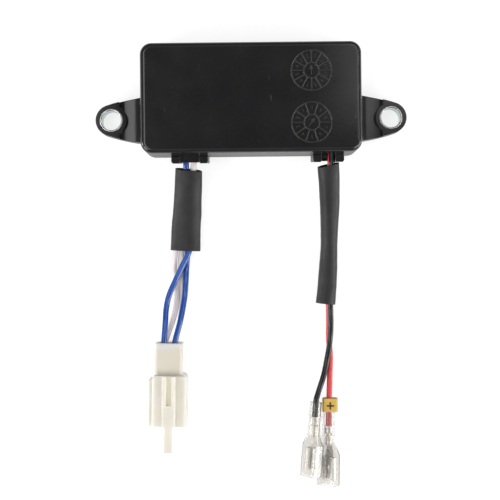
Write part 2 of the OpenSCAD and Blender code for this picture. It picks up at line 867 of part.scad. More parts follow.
module timing_capacitor() {
  color("#1d2a44") timing_capacitor_shape();
}

module film_capacitor() {
  color("#b03a2e") film_capacitor_shape();
}

module power_resistor() {
  color("#8a8f98") power_resistor_shape();
}

module resistors() {
  color("#c8b08a") resistor_shapes();
}

module zener_diodes() {
  color("#c46a3a") zener_diode_shapes();
}

module signal_transistors() {
  color("#202020") signal_transistor_shapes();
}

module soldered_wire_ends() {
  color("#c9a27a") soldered_ends();
}

// Leads and sleeves

module blue_lead_1() {
  color("#2d55a5") lead(BLUE_1);
}

module blue_lead_2() {
  color("#2d55a5") lead(BLUE_2);
}

module white_lead_1() {
  color("#ebe4e0") lead(WHITE_1);
}

module white_lead_2() {
  color("#ebe4e0") lead(WHITE_2);
}

module red_lead() {
  color("#e14646") lead(RED);
}

module black_lead() {
  color("#28282a") lead(BLACK);
}

module left_sleeve() {
  color("#3c3c3c") sleeve(LEFT_SLEEVE, left_sleeve_slant);
}

module right_sleeve() {
  color("#3c3c3c") sleeve(RIGHT_SLEEVE, right_sleeve_slant);
}

// Plug

module in_plug() {
  at_wall() translate(plug_place) rotate(plug_turn) children();
}

// Each contact's axis, in the plug's own frame
module at_contacts() {
  for (sx = [-1, 1], sz = [-1, 1])
    translate([rear_shift + sx * contact_pitch / 2, 0, plug_mid + sz * contact_row_pitch / 2]) children();
}

// Shroud's outside: its section along the plug, cut by its plan with round shoulders
module shroud_block() {
  intersection() {
    translate([0, -rear_length, plug_mid])
      along(shroud_length) rounded_rect(shroud_width, shroud_height, shroud_edge_radius);
    translate([0, -plug_length, -eps])
      linear_extrude(shroud_height + 2 * eps) arch(shroud_width, shroud_length, shoulder_radius);
  }
}

// Polarising rib along the shroud's left side
module shroud_side_rib() {
  translate([-shroud_width / 2 - side_rib[0], -plug_length, side_rib[1]])
    cube([side_rib[0] + eps, shroud_length - shoulder_radius, shroud_height - 2 * side_rib[1]]);
}

// Two ribs that join into the tongue's root, and the tongue with its catch
module latch() {
  half = latch_gap / 2 + latch_rib[0];
  root_start = rear_length + latch_channel_length;
  top = shroud_height + latch_rib[1];
  for (s = [-1, 1])
    translate([s * (latch_gap + latch_rib[0]) / 2 - latch_rib[0] / 2, -plug_length, shroud_height - eps])
      cube([latch_rib[0], shroud_length, latch_rib[1] + eps]);
  translate([-half, -plug_length, shroud_height - eps])
    cube([2 * half, plug_length - root_start, latch_rib[1] + eps]);
  translate([-tongue_width / 2, 0, 0])
    rotate([90, 0, 90])
      linear_extrude(tongue_width)
        polygon([
          [eps - plug_length, top], [-plug_length - tongue_reach, top],
          [-plug_length - tongue_reach, top - tongue_thickness / 2],
          [catch_length - plug_length - tongue_reach, top - tongue_thickness - catch_depth],
          [catch_length - plug_length - tongue_reach, top - tongue_thickness],
          [eps - plug_length, top - tongue_thickness]
        ]);
}

module plug_housing() {
  color("#e4e0d2")
    in_plug()
      difference() {
        union() {
          translate([rear_shift, 0, plug_mid])
            along(rear_length + eps) rounded_rect(rear_width, rear_height, rear_edge_radius);
          shroud_block();
          shroud_side_rib();
          latch();
        }
        translate([0, -bulkhead_depth, plug_mid])
          along(plug_length - bulkhead_depth + eps)
            rounded_rect(
              shroud_width - 2 * shroud_wall, shroud_height - 2 * shroud_wall, shroud_edge_radius / 2
            );
        at_contacts() {
          translate([0, eps, 0]) along(cell_depth + eps) square(cell, center = true);
          translate([0, -cell_depth + eps, 0])
            along(bulkhead_depth - cell_depth + 2 * eps)
              square(contact_tab + 2 * contact_clearance * [1, 1], center = true);
        }
      }
}

// Tab contact: crimp round the insulation, crimp on the strands, shoulder and tab
module contact() {
  tip = plug_length - tab_recess;
  translate([0, insulation_crimp[1] - eps - lead_in_plug, 0])
    along(insulation_crimp[1])
      difference() {
        circle(d = insulation_crimp[0]);
        circle(d = lead_diameter);
      }
  translate([0, -lead_in_plug, 0]) along(conductor_crimp[1]) circle(d = conductor_crimp[0]);
  translate([-contact_shoulder.x / 2, -cell_depth, -contact_shoulder.z / 2]) cube(contact_shoulder);
  translate([0, 0, -contact_tab[1] / 2])
    linear_extrude(contact_tab[1])
      polygon([
        [-contact_tab[0] / 2, -lead_in_plug - tab_lap], [contact_tab[0] / 2, -lead_in_plug - tab_lap],
        [contact_tab[0] / 2, tab_tip - tip], [contact_tab[0] / 2 - tab_tip / 2, -tip],
        [tab_tip / 2 - contact_tab[0] / 2, -tip], [-contact_tab[0] / 2, tab_tip - tip]
      ]);
}

module plug_contacts() {
  color("#c9b25a") in_plug() at_contacts() contact();
}

// Spade terminals, boots and marker

module in_boot(boot) {
  at_wall() translate(boot[0]) rotate(boot[1]) rotate([0, boot[2], 0]) children();
}

// Strands of the red and black leads, from the cut insulation through the crimps
module crimped_wire_ends() {
  color("#c9a27a")
    for (boot = [RED_BOOT, BLACK_BOOT])
      in_boot(boot)
        translate([0, -lead_in_boot, 0])
          along(taper_start + strand_overrun - lead_in_boot) circle(d = strand_diameter);
}

// Sheet metal receptacle with rolled edges, a taper and two crimps
module terminal() {
  floor_z = -roll_radius;
  roll_x = spade_width / 2 - roll_radius;
  translate([0, -receptacle_start, 0])
    along(receptacle_end - receptacle_start)
      for (s = [-1, 1])
        difference() {
          translate([s * roll_x, 0]) circle(roll_radius);
          translate([s * roll_x, 0]) circle(roll_radius - spade_sheet);
          translate([s * (roll_x - roll_radius / 2) - roll_radius / 2, floor_z + spade_sheet])
            square([roll_radius, tab_gap]);
        }
  difference() {
    translate([0, 0, floor_z])
      linear_extrude(spade_sheet)
        polygon([
          [-strip_width / 2, -terminal_start], [strip_width / 2, -terminal_start],
          [strip_width / 2, -taper_start], [roll_x, -receptacle_start], [roll_x, -receptacle_end],
          [-roll_x, -receptacle_end], [-roll_x, -receptacle_start], [-strip_width / 2, -taper_start]
        ]);
    translate([0, -(receptacle_start + receptacle_end) / 2, floor_z - eps])
      cylinder(d = dimple_diameter, h = spade_sheet + 2 * eps);
    translate([0, eps - terminal_start, 0])
      along(lead_in_boot - terminal_start + eps) circle(d = lead_diameter);
  }
  translate([0, -terminal_start, 0])
    along(insulation_crimp[1])
      difference() {
        circle(d = lead_diameter + 2 * crimp_wall);
        circle(d = lead_diameter);
      }
  translate([0, -conductor_start, 0])
    along(taper_start - conductor_start)
      difference() {
        circle(d = strand_diameter + 2 * crimp_wall);
        circle(d = strand_diameter);
      }
}

function boot_ring(station, inset) =
  let (
    share = station[1],
    w = boot_neck + share * (boot_width - boot_neck) - 2 * inset,
    d = boot_neck + share * (boot_depth - boot_neck) - 2 * inset,
    largest = min(w, d) / 2 - corner_slack,
    r = min(max(station[2] - inset / 2, least_corner), largest)
  )
  [for (p = corner_ring(w, d, r)) [p.x, -station[0], p.y]];

module boot() {
  shell_between(
    [for (station = BOOT_STATIONS) boot_ring(station, 0)],
    [for (station = BOOT_STATIONS) boot_ring(station, boot_wall)]
  );
}

module red_terminal() {
  color("#c8c8c4") in_boot(RED_BOOT) terminal();
}

module black_terminal() {
  color("#c8c8c4") in_boot(BLACK_BOOT) terminal();
}

module red_boot() {
  color([0.88, 0.87, 0.85, 0.5]) in_boot(RED_BOOT) boot();
}

module black_boot() {
  color([0.88, 0.87, 0.85, 0.5]) in_boot(BLACK_BOOT) boot();
}

// Ring that lies loose on the red lead and stops at the boot's neck
module plus_marker() {
  color("#c8a546")
    at_wall() translate(RED_BOOT[0]) rotate(RED_BOOT[1])
      translate([marker_shift, marker_length, 0])
        along(marker_length)
          difference() {
            rounded_rect(marker_width, marker_depth, marker_radius);
            rounded_rect(
              marker_width - 2 * marker_wall, marker_depth - 2 * marker_wall, marker_radius - marker_wall / 2
            );
          }
}

case();
left_eyelet();
right_eyelet();
potting();
left_lead_seal();
right_lead_seal();
circuit_board();
rectifier_diodes();
power_transistor();
filter_capacitor();
timing_capacitor();
film_capacitor();
power_resistor();
resistors();
zener_diodes();
signal_transistors();
soldered_wire_ends();
crimped_wire_ends();
blue_lead_1();
blue_lead_2();
white_lead_1();
white_lead_2();
red_lead();
black_lead();
left_sleeve();
right_sleeve();
plug_housing();
plug_contacts();
red_terminal();
black_terminal();
red_boot();
black_boot();
plus_marker();
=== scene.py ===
"""Looks of an automatic voltage regulator: studio, leads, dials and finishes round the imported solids."""

import logging
import math
from collections.abc import Sequence
from dataclasses import dataclass, field
from enum import Enum

import bmesh
import bpy
from mathutils import Matrix, Vector, noise


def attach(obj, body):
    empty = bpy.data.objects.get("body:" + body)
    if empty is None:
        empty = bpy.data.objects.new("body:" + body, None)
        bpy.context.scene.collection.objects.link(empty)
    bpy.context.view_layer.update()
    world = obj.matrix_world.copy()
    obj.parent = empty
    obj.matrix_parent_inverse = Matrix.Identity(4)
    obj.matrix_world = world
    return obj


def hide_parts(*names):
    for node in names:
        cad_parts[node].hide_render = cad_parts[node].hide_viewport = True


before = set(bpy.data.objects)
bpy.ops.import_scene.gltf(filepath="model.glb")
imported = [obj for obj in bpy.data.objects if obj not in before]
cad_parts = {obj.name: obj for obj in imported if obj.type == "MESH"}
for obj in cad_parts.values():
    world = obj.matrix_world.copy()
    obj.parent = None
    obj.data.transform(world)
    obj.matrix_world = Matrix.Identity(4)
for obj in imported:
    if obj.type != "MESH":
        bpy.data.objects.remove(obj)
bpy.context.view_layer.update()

MM = 0.001
WALL_Y = -13.0
ROOT = "root"
LOG = logging.getLogger("voltage_regulator")

Colour = tuple[float, float, float]
Point = tuple[float, ...]
Ring = list[Vector]
Way = tuple[Vector, Vector, Vector]
Socket = bpy.types.NodeSocket
Value = Socket | float | Point
Piece = bpy.types.Object


class Look(Enum):
    """Finishes of the regulator's pieces."""

    CASE = "moulded_case_plastic"
    DIAL = "raised_dial_plastic"
    ZINC = "bright_zinc_plate"
    SEAL = "black_sealant"
    POTTING = "cast_potting"
    BLUE = "blue_insulation"
    WHITE = "white_insulation"
    RED = "red_insulation"
    BLACK = "black_insulation"
    SLEEVE = "black_vinyl_tubing"
    NYLON = "milky_nylon"
    BRASS = "bright_contact_brass"
    TIN = "tin_plate"
    BOOT = "clear_vinyl"
    MARKER = "yellow_marker_plastic"
    INK = "brown_marker_ink"
    STRANDS = "tinned_strands"
    BOARD = "solder_mask"
    PACKAGE = "black_component_package"
    CAN = "capacitor_sleeve"
    FILM = "red_film_box"
    LACQUER = "resistor_lacquer"
    DIODE = "amber_diode_glass"


# Node trees


@dataclass(frozen=True)
class Pattern:
    """A noise pattern fixed to the row frame.

    Attributes:
        cells: Cells for each metre.
        detail: Octaves of the noise.
        stretch: Factors on the three axes.
        warp: How far the pattern is warped.
    """

    cells: float
    detail: float
    stretch: Point = (1.0, 1.0, 1.0)
    warp: float = 0.0


class Nodes:
    """One node tree, with short calls for the nodes that materials and surroundings share."""

    def __init__(self, tree: bpy.types.NodeTree) -> None:
        """Takes over a node tree and empties it."""
        self.tree = tree
        self.tree.nodes.clear()

    def add(self, kind: str, inputs: dict[str | int, Value], **settings: str | int) -> bpy.types.Node:
        """Adds one node.

        Args:
            kind: Kind of shader node.
            inputs: Value of each input, or the socket that feeds it, by the input's name or number.
            settings: Other settings of the node.

        Returns:
            The new node.
        """
        made = self.tree.nodes.new("ShaderNode" + kind)
        for name, setting in settings.items():
            setattr(made, name, setting)
        for key, value in inputs.items():
            if isinstance(value, Socket):
                self.tree.links.new(value, made.inputs[key])
            else:
                made.inputs[key].default_value = value
        return made

    def combine(self, operation: str, first: Socket, second: Socket | float) -> Socket:
        """Returns the socket of two values combined by an operation such as MAXIMUM."""
        return self.add("Math", {0: first, 1: second}, operation=operation).outputs["Value"]

    def axes(self, source: Socket) -> tuple[Socket, ...]:
        """Returns the sockets of a vector's X, Y and Z."""
        return tuple(self.add("SeparateXYZ", {"Vector": source}).outputs)


class Tree(Nodes):
    """Node tree of one material, with short calls for what finishes are made of."""

    bevel_samples = 6
    upright_range = (0.02, 0.15)

    def __init__(self, name: str) -> None:
        """Starts a material with one Principled surface.

        Args:
            name: The material's name.
        """
        self.material = bpy.data.materials.new(name)
        self.material.use_nodes = True
        super().__init__(self.material.node_tree)
        self.shader = self.add("BsdfPrincipled", {})
        self.add("OutputMaterial", {"Surface": self.shader.outputs["BSDF"]})
        self.place = self.add("TexCoord", {}).outputs["Object"]
        self.edges: Socket | None = None

    def round_edges(self, radius: float) -> None:
        """Lets light see sharp edges as rounded by a radius in metres."""
        made = self.add("Bevel", {"Radius": radius}, samples=self.bevel_samples)
        self.edges = made.outputs["Normal"]

    def constant(self, **values: float | Colour) -> None:
        """Sets sockets of the surface, named with underscores for spaces, to one value each."""
        for name, value in values.items():
            self.shader.inputs[name.replace("_", " ")].default_value = value

    def feed(self, source: Socket, name: str) -> None:
        """Links a varying value to one of the surface's sockets."""
        self.tree.links.new(source, self.shader.inputs[name])

    def noise(self, pattern: Pattern) -> Socket:
        """Makes a noise pattern.

        Args:
            pattern: The pattern's measures.

        Returns:
            The noise value's socket.
        """
        mapping = self.add("Mapping", {"Vector": self.place, "Scale": pattern.stretch})
        measures = {"Scale": pattern.cells, "Detail": pattern.detail, "Distortion": pattern.warp}
        return self.add("TexNoise", {"Vector": mapping.outputs["Vector"], **measures}).outputs["Fac"]

    def spread(
        self, source: Socket, low: float, high: float, start: float = 0.3, stop: float = 0.7
    ) -> Socket:
        """Maps a value's middle range to another range.

        Args:
            source: Value to map.
            low: Result at start.
            high: Result at stop.
            start: Lower end of the range that is read.
            stop: Upper end of the range that is read.

        Returns:
            The mapped value's socket.
        """
        ends = {"From Min": start, "From Max": stop, "To Min": low, "To Max": high}
        return self.add("MapRange", {"Value": source, **ends}).outputs["Result"]

    def blend(self, amount: Socket, first: Colour | Socket, second: Colour) -> Socket:
        """Mixes two colours by a varying amount.

        Args:
            amount: Share of the second colour.
            first: Ground colour, or the socket that gives it.
            second: Colour mixed in.

        Returns:
            The mixed colour's socket.
        """
        ground = first if isinstance(first, Socket) else (*first, 1.0)
        colours = {"A": ground, "B": (*second, 1.0)}
        return self.add("Mix", {"Factor": amount, **colours}, data_type="RGBA").outputs["Result"]

    def between(self, source: Socket, low: float, high: float, fade: float) -> Socket:
        """Marks where a value lies between two limits.

        Args:
            source: Value to test.
            low: Lower limit.
            high: Upper limit.
            fade: Range over which the mark fades at each limit.

        Returns:
            A socket that is 1 between the limits and 0 outside them.
        """
        rise = self.spread(source, 0.0, 1.0, low - fade / 2, low + fade / 2)
        fall = self.spread(source, 1.0, 0.0, high - fade / 2, high + fade / 2)
        return self.combine("MINIMUM", rise, fall)

    def upright(self, level: float) -> Socket:
        """Returns a socket with the level on walls and undersides, and 0 on faces that look up."""
        normal = self.add("NewGeometry", {}).outputs["Normal"]
        return self.spread(self.axes(normal)[2], level, 0.0, *self.upright_range)

    def relief(self, height: Socket, depth: float, under: Socket | None = None) -> Socket:
        """Makes a relief on the rounded edges, or on a coarser relief.

        Args:
            height: Height pattern from 0 to 1.
            depth: Depth of the relief in millimetres.
            under: Normal of the coarser relief.

        Returns:
            The normal's socket.
        """
        ground = self.edges if under is None else under
        normal = {} if ground is None else {"Normal": ground}
        measures = {"Strength": 1.0, "Distance": depth * MM}
        return self.add("Bump", {"Height": height, **measures, **normal}).outputs["Normal"]


# Finishes

MOTTLE_DETAIL = 4.0
POLISH_DETAIL = 5.0
POLISH_FINENESS = 2.3
GRAIN_DETAIL = 2.0
SINK_WAVES = Pattern(45.0, 1.0)
SCRATCHES = Pattern(420.0, 2.0, (1.0, 0.16, 1.0), 2.2)
DUST = Pattern(2600.0, 0.0)
STREAK_POLISH = Pattern(1500.0, 3.0, (1.0, 0.08, 1.0))
STREAKS = Pattern(2200.0, 2.0, (1.0, 0.05, 1.0))


@dataclass(frozen=True)
class Finish:
    """Mottled colour, varied roughness and fine grain, the ground of every finish.

    Attributes:
        look: Which finish it is.
        colour: Main colour.
        shade: Colour of the mottling.
        roughness: Lowest and highest roughness.
        patch: Cells of the mottling for each metre.
        grain: Cells of the fine relief for each metre.
        depth: Depth of the fine relief in millimetres.
        edge: Radius of the broken edges in millimetres.
        lines: Stretch of the fine relief on the three axes.
    """

    look: Look
    colour: Colour
    shade: Colour
    roughness: tuple[float, float]
    patch: float = 300.0
    grain: float = 3000.0
    depth: float = 0.006
    edge: float = 0.0
    lines: Point = (1.0, 1.0, 1.0)

    def make(self) -> bpy.types.Material:
        """Builds the material.

        Returns:
            The new material.
        """
        tree = Tree(self.look.value)
        if self.edge:
            tree.round_edges(self.edge * MM)
        tree.feed(self.paint(tree), "Base Color")
        tree.feed(self.polish(tree), "Roughness")
        tree.feed(self.texture(tree), "Normal")
        self.dress(tree)
        return tree.material

    def paint(self, tree: Tree) -> Socket:
        """Returns the socket of the mottled colour."""
        amount = tree.spread(tree.noise(Pattern(self.patch, MOTTLE_DETAIL)), 0.0, 1.0)
        return tree.blend(amount, self.colour, self.shade)

    def polish(self, tree: Tree) -> Socket:
        """Returns the socket of the varied roughness."""
        pattern = Pattern(self.patch * POLISH_FINENESS, POLISH_DETAIL)
        return tree.spread(tree.noise(pattern), *self.roughness)

    def texture(self, tree: Tree) -> Socket:
        """Returns the normal's socket with the fine relief."""
        return tree.relief(tree.noise(Pattern(self.grain, GRAIN_DETAIL, self.lines)), self.depth)

    def dress(self, tree: Tree) -> None:
        """Sets what is special to one kind of surface; the plain ground needs nothing."""


@dataclass(frozen=True)
class MouldedPlastic(Finish):
    """Glossy moulded plastic with shallow sink waves, handling scuffs and dust.

    Attributes:
        scuff: Colour of the scuffs and the dust.
        scratch: Share of that colour in a scratch, and where in its pattern one starts and is full.
        dust: The same for specks of dust.
        wave: Depth of the sink waves in millimetres.
        walls: Roughness of the upright walls, which have a matt mould texture.
    """

    scuff: Colour = (0.08, 0.08, 0.084)
    scratch: tuple[float, float, float] = (0.45, 0.735, 0.78)
    dust: tuple[float, float, float] = (0.4, 0.79, 0.82)
    wave: float = 0.05
    walls: float = 0.0

    def paint(self, tree: Tree) -> Socket:
        """Marks the mottled colour with faint scuffs and fine dust.

        Args:
            tree: Node tree of the material.

        Returns:
            The colour's socket.
        """
        colour = super().paint(tree)
        for pattern, (share, start, stop) in ((SCRATCHES, self.scratch), (DUST, self.dust)):
            amount = tree.spread(tree.noise(pattern), 0.0, share, start, stop)
            colour = tree.blend(amount, colour, self.scuff)
        return colour

    def polish(self, tree: Tree) -> Socket:
        """Returns the socket of the roughness, with duller walls where they differ."""
        varied = super().polish(tree)
        return tree.combine("MAXIMUM", varied, tree.upright(self.walls)) if self.walls else varied

    def texture(self, tree: Tree) -> Socket:
        """Returns the normal's socket with a fine grain on broad sink waves."""
        broad = tree.relief(tree.noise(SINK_WAVES), self.wave)
        return tree.relief(tree.noise(Pattern(self.grain, GRAIN_DETAIL)), self.depth, broad)

    def dress(self, tree: Tree) -> None:
        """Sets the gloss of moulded plastic."""
        tree.constant(IOR=1.5)


@dataclass(frozen=True)
class PlatedMetal(Finish):
    """Plated sheet metal with tarnish and drawing lines.

    Attributes:
        patch: Cells of the tarnish for each metre.
        grain: Cells of the drawing lines for each metre.
        depth: Depth of the drawing lines in millimetres.
        lines: Stretch of the drawing lines on the three axes.
        bare: Share of the plating that mirrors; the rest is dull oxide.
        bore: Colour of upright walls, darker and bluer than the rest of the plating.
        bore_share: Share of that colour there.
    """

    patch: float = 400.0
    grain: float = 5000.0
    depth: float = 0.004
    lines: Point = (1.0, 0.1, 1.0)
    bare: float = 1.0
    bore: Colour | None = None
    bore_share: float = 0.9

    def paint(self, tree: Tree) -> Socket:
        """Returns the socket of the plating's colour, with its bores apart where they differ."""
        colour = super().paint(tree)
        return tree.blend(tree.upright(self.bore_share), colour, self.bore) if self.bore else colour

    def dress(self, tree: Tree) -> None:
        """Makes the surface metal."""
        tree.constant(Metallic=self.bare)


@dataclass(frozen=True)
class SoftVinyl(Finish):
    """Insulation and tubing with extrusion streaks along the leads.

    Attributes:
        patch: Cells of the mottling for each metre.
        grain: Cells of the fine relief for each metre.
        scatter: Share of light that enters the plastic.
        scatter_depth: How far it gets, in millimetres.
        coat: Strength of the clear gloss on top.
        shine: Strength of the plastic's own gloss.
        fine: Depth of the fine grain as a share of the streaks' depth.
    """

    patch: float = 500.0
    grain: float = 7000.0
    scatter: float = 0.0
    scatter_depth: float = 0.4
    coat: float = 0.0
    shine: float = 0.5
    fine: float = 0.6

    def polish(self, tree: Tree) -> Socket:
        """Returns the socket of the roughness, which varies in streaks."""
        return tree.spread(tree.noise(STREAK_POLISH), *self.roughness)

    def texture(self, tree: Tree) -> Socket:
        """Returns the normal's socket with a fine grain on extrusion streaks."""
        streaks = tree.relief(tree.noise(STREAKS), self.depth)
        return tree.relief(
            tree.noise(Pattern(self.grain, GRAIN_DETAIL)), self.fine * self.depth, streaks
        )

    def dress(self, tree: Tree) -> None:
        """Sets the gloss and scatter of soft plastic.

        Args:
            tree: Node tree of the material.
        """
        tree.constant(IOR=1.5, Specular_IOR_Level=self.shine)
        tree.constant(Coat_Weight=self.coat, Coat_Roughness=0.06)
        if self.scatter:
            tree.constant(Subsurface_Weight=self.scatter, Subsurface_Scale=self.scatter_depth * MM)
            tree.constant(Subsurface_Radius=(1.0, 0.85, 0.75))


@dataclass(frozen=True)
class MilkyNylon(Finish):
    """Natural nylon that lets light through.

    Attributes:
        rear: Colour of the rear body, where the wall is thick.
        rear_y: Y where that colour starts and where it is full, in millimetres.
        entry: Colour where the leads in the hollow end show through.
        entry_y: Y where that colour starts and where it is full, in millimetres.
        share: Full share of both colours.
        walls: Painted light: a lighter colour on upright walls, standing in for light from within the
            nylon.
        wall_share: Share of that painted light there.
        groove: Painted light: a lighter colour on the channel between the latch ribs, standing in for
            light that passes through the ribs.
        groove_x: Lower and upper X of that channel, in millimetres.
        groove_z: Lower and upper Z of that channel, in millimetres.
        groove_fade: Range over which that painted light fades at the channel's edges, in millimetres.
        scatter_depth: How far light gets in the nylon, in millimetres.
    """

    rear: Colour = (0.665, 0.62, 0.53)
    rear_y: tuple[float, float] = (-91.05, -90.65)
    entry: Colour = (0.7, 0.71, 0.69)
    entry_y: tuple[float, float] = (-82.2, -81.0)
    share: float = 0.8
    walls: Colour = (0.95, 0.92, 0.84)
    wall_share: float = 0.9
    groove: Colour = (0.97, 0.912, 0.79)
    groove_x: tuple[float, float] = (-31.0, -28.95)
    groove_z: tuple[float, float] = (12.3, 13.8)
    groove_fade: float = 0.1
    scatter_depth: float = 1.6

    def paint(self, tree: Tree) -> Socket:
        """Colours the body by the thickness of its walls and what shows through them, with painted light
        on its upright walls and on the channel between the latch ribs.

        Args:
            tree: Node tree of the material.

        Returns:
            The colour's socket.
        """
        x, y, z = tree.axes(tree.place)
        body = super().paint(tree)
        for colour, (start, stop) in ((self.rear, self.rear_y), (self.entry, self.entry_y)):
            body = tree.blend(tree.spread(y, 0.0, self.share, start * MM, stop * MM), body, colour)
        # Painted light: upright walls are painted lighter, standing in for light from within the nylon.
        body = tree.blend(tree.upright(self.wall_share), body, self.walls)
        # Painted light: the channel between the latch ribs is painted lighter, standing in for light
        # through the ribs.
        across, deep = (
            tree.between(value, low * MM, high * MM, self.groove_fade * MM)
            for value, (low, high) in ((x, self.groove_x), (z, self.groove_z))
        )
        return tree.blend(tree.combine("MINIMUM", across, deep), body, self.groove)

    def dress(self, tree: Tree) -> None:
        """Sets the deep scatter and soft gloss of nylon."""
        tree.constant(IOR=1.53, Subsurface_Weight=1.0, Subsurface_Scale=self.scatter_depth * MM)
        tree.constant(Subsurface_Radius=(1.0, 0.98, 0.9))


@dataclass(frozen=True)
class ClearVinyl(Finish):
    """Clear soft vinyl with a slight haze.

    Attributes:
        clear: Share of light that passes through a surface.
    """

    clear: float = 0.96

    def dress(self, tree: Tree) -> None:
        """Lets what is inside show through the wall."""
        tree.constant(IOR=1.38, Transmission_Weight=self.clear)


FINISHES: tuple[Finish, ...] = (
    MouldedPlastic(
        Look.CASE, (0.0125, 0.012, 0.013), (0.016, 0.0155, 0.0165), (0.1, 0.16),
        patch=60.0, grain=9000.0, depth=0.002, edge=0.35, wave=0.012, walls=0.42,
    ),
    MouldedPlastic(
        Look.DIAL, (0.019, 0.019, 0.02), (0.025, 0.025, 0.026), (0.4, 0.5),
        patch=400.0, grain=9000.0, depth=0.003, edge=0.06,
    ),
    MouldedPlastic(
        Look.SEAL, (0.012, 0.012, 0.013), (0.02, 0.02, 0.021), (0.25, 0.45),
        patch=500.0, grain=2500.0, depth=0.02, edge=0.4, wave=0.2,
    ),
    MouldedPlastic(
        Look.POTTING, (0.012, 0.012, 0.013), (0.02, 0.02, 0.02), (0.2, 0.45),
        patch=90.0, grain=1500.0, depth=0.01, wave=0.5,
    ),
    PlatedMetal(
        Look.ZINC, (0.66, 0.58, 0.5), (0.5, 0.52, 0.54), (0.16, 0.3), patch=260.0, grain=6000.0,
        depth=0.003, edge=0.22, lines=(1.0, 1.0, 0.15), bore=(0.3, 0.43, 0.44),
    ),
    PlatedMetal(Look.BRASS, (0.78, 0.6, 0.27), (0.7, 0.5, 0.2), (0.2, 0.34)),
    PlatedMetal(Look.TIN, (0.93, 0.92, 0.9), (0.8, 0.78, 0.75), (0.2, 0.42), edge=0.12, bare=0.4),
    PlatedMetal(
        Look.STRANDS, (0.72, 0.6, 0.5), (0.6, 0.45, 0.34), (0.25, 0.4),
        patch=900.0, grain=4000.0, depth=0.03,
    ),
    SoftVinyl(
        Look.BLUE, (0.006, 0.06, 0.3), (0.009, 0.075, 0.35), (0.03, 0.07), depth=0.0005, coat=0.35
    ),
    SoftVinyl(
        Look.WHITE, (0.79, 0.725, 0.71), (0.85, 0.795, 0.78), (0.25, 0.4), depth=0.003, scatter=0.35
    ),
    SoftVinyl(Look.RED, (0.71, 0.05, 0.05), (0.8, 0.08, 0.08), (0.2, 0.32), scatter=0.35),
    SoftVinyl(
        Look.BLACK, (0.01, 0.01, 0.011), (0.014, 0.014, 0.015), (0.16, 0.26),
        depth=0.005, coat=0.1, shine=0.35,
    ),
    SoftVinyl(
        Look.SLEEVE, (0.015, 0.0147, 0.015), (0.021, 0.0205, 0.021), (0.4, 0.54),
        patch=300.0, grain=6000.0, depth=0.008, shine=0.32,
    ),
    SoftVinyl(
        Look.MARKER, (0.58, 0.37, 0.065), (0.64, 0.43, 0.09), (0.35, 0.5),
        patch=400.0, grain=6000.0, depth=0.008, edge=0.25, scatter=0.15,
    ),
    MilkyNylon(
        Look.NYLON, (0.735, 0.7, 0.615), (0.77, 0.745, 0.68), (0.34, 0.46),
        patch=160.0, grain=5000.0, depth=0.004, edge=0.3,
    ),
    ClearVinyl(
        Look.BOOT, (0.84, 0.822, 0.793), (0.88, 0.866, 0.842), (0.01, 0.04), grain=900.0, depth=0.002
    ),
    Finish(Look.INK, (0.05, 0.013, 0.006), (0.07, 0.02, 0.01), (0.5, 0.65), patch=900.0, grain=6000.0),
    Finish(Look.BOARD, (0.02, 0.12, 0.04), (0.03, 0.17, 0.06), (0.3, 0.45), patch=200.0, depth=0.01),
    Finish(
        Look.PACKAGE, (0.016, 0.016, 0.017), (0.028, 0.028, 0.028), (0.45, 0.6),
        patch=400.0, grain=4000.0, depth=0.01,
    ),
    Finish(Look.CAN, (0.02, 0.03, 0.08), (0.03, 0.045, 0.11), (0.25, 0.4)),
    Finish(Look.FILM, (0.42, 0.05, 0.03), (0.5, 0.075, 0.05), (0.25, 0.4)),
    Finish(Look.LACQUER, (0.52, 0.4, 0.24), (0.6, 0.48, 0.32), (0.3, 0.45), patch=500.0, depth=0.008),
    Finish(Look.DIODE, (0.55, 0.2, 0.07), (0.62, 0.27, 0.1), (0.1, 0.2), patch=500.0, depth=0.004),
)


class Palette:
    """Materials of all finishes, by look."""

    def __init__(self) -> None:
        """Makes every finish once."""
        self.made = {finish.look: finish.make() for finish in FINISHES}

    def put(self, piece: Piece, look: Look) -> None:
        """Gives a piece one finish in place of what it had."""
        piece.data.materials.clear()
        piece.data.materials.append(self.made[look])

    def settle(self, piece: Piece, look: Look, node: str | None = None) -> None:
        """Finishes a piece and puts it on the part's body.

        Args:
            piece: The piece.
            look: Its finish.
            node: CAD node that it stands for, if any.
        """
        self.put(piece, look)
        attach(piece, ROOT)
        if node is not None:
            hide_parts(node)


# Shared shapes

SOFT_CREASE = 60.0
PLATE_CREASE = 30.0
PLATE_SHOULDER = 0.6
END_ROUND = 0.1
END_SHARES = (0.25, 0.75)


def row_point(values: Sequence[float]) -> Vector:
    """Returns a point whose Y counts from the lead wall in millimetres, in the row frame in metres."""
    return Vector((values[0], values[1] + WALL_Y, values[2])) * MM


def curve_value(before: float, start: float, stop: float, after: float, share: float) -> float:
    """Finds a value on a smooth curve through four values.

    Args:
        before: Value before the stretch.
        start: Value where the stretch starts.
        stop: Value where it stops.
        after: Value after it.
        share: Share of the way from start to stop.

    Returns:
        The curve's value there.
    """
    square = (2 * before - 5 * start + 4 * stop - after) * share * share
    cube = (3 * start - before - 3 * stop + after) * share * share * share
    return 0.5 * (2 * start + (stop - before) * share + square + cube)


def smooth_line(points: Sequence[Point], steps: int) -> list[Point]:
    """Runs a smooth curve through points of any number of values.

    Args:
        points: Points to pass through.
        steps: New points for each stretch between two of them.

    Returns:
        The curve's points.
    """
    made: list[Point] = []
    last = len(points) - 1
    for i in range(last):
        around = points[max(i - 1, 0)], points[i], points[i + 1], points[min(i + 2, last)]
        for k in range(steps):
            made.append(tuple(curve_value(*values, k / steps) for values in zip(*around)))
    made.append(tuple(points[last]))
    return made


def directions(line: Sequence[Vector]) -> list[Way]:
    """Finds how a line runs at each of its points.

    Args:
        line: Points of the line.

    Returns:
        Heading, level side and upward direction at each point.
    """
    made = []
    for i in range(len(line)):
        heading = (line[min(i + 1, len(line) - 1)] - line[max(i - 1, 0)]).normalized()
        side = Vector((0, 0, 1)).cross(heading).normalized()
        made.append((heading, side, heading.cross(side)))
    return made


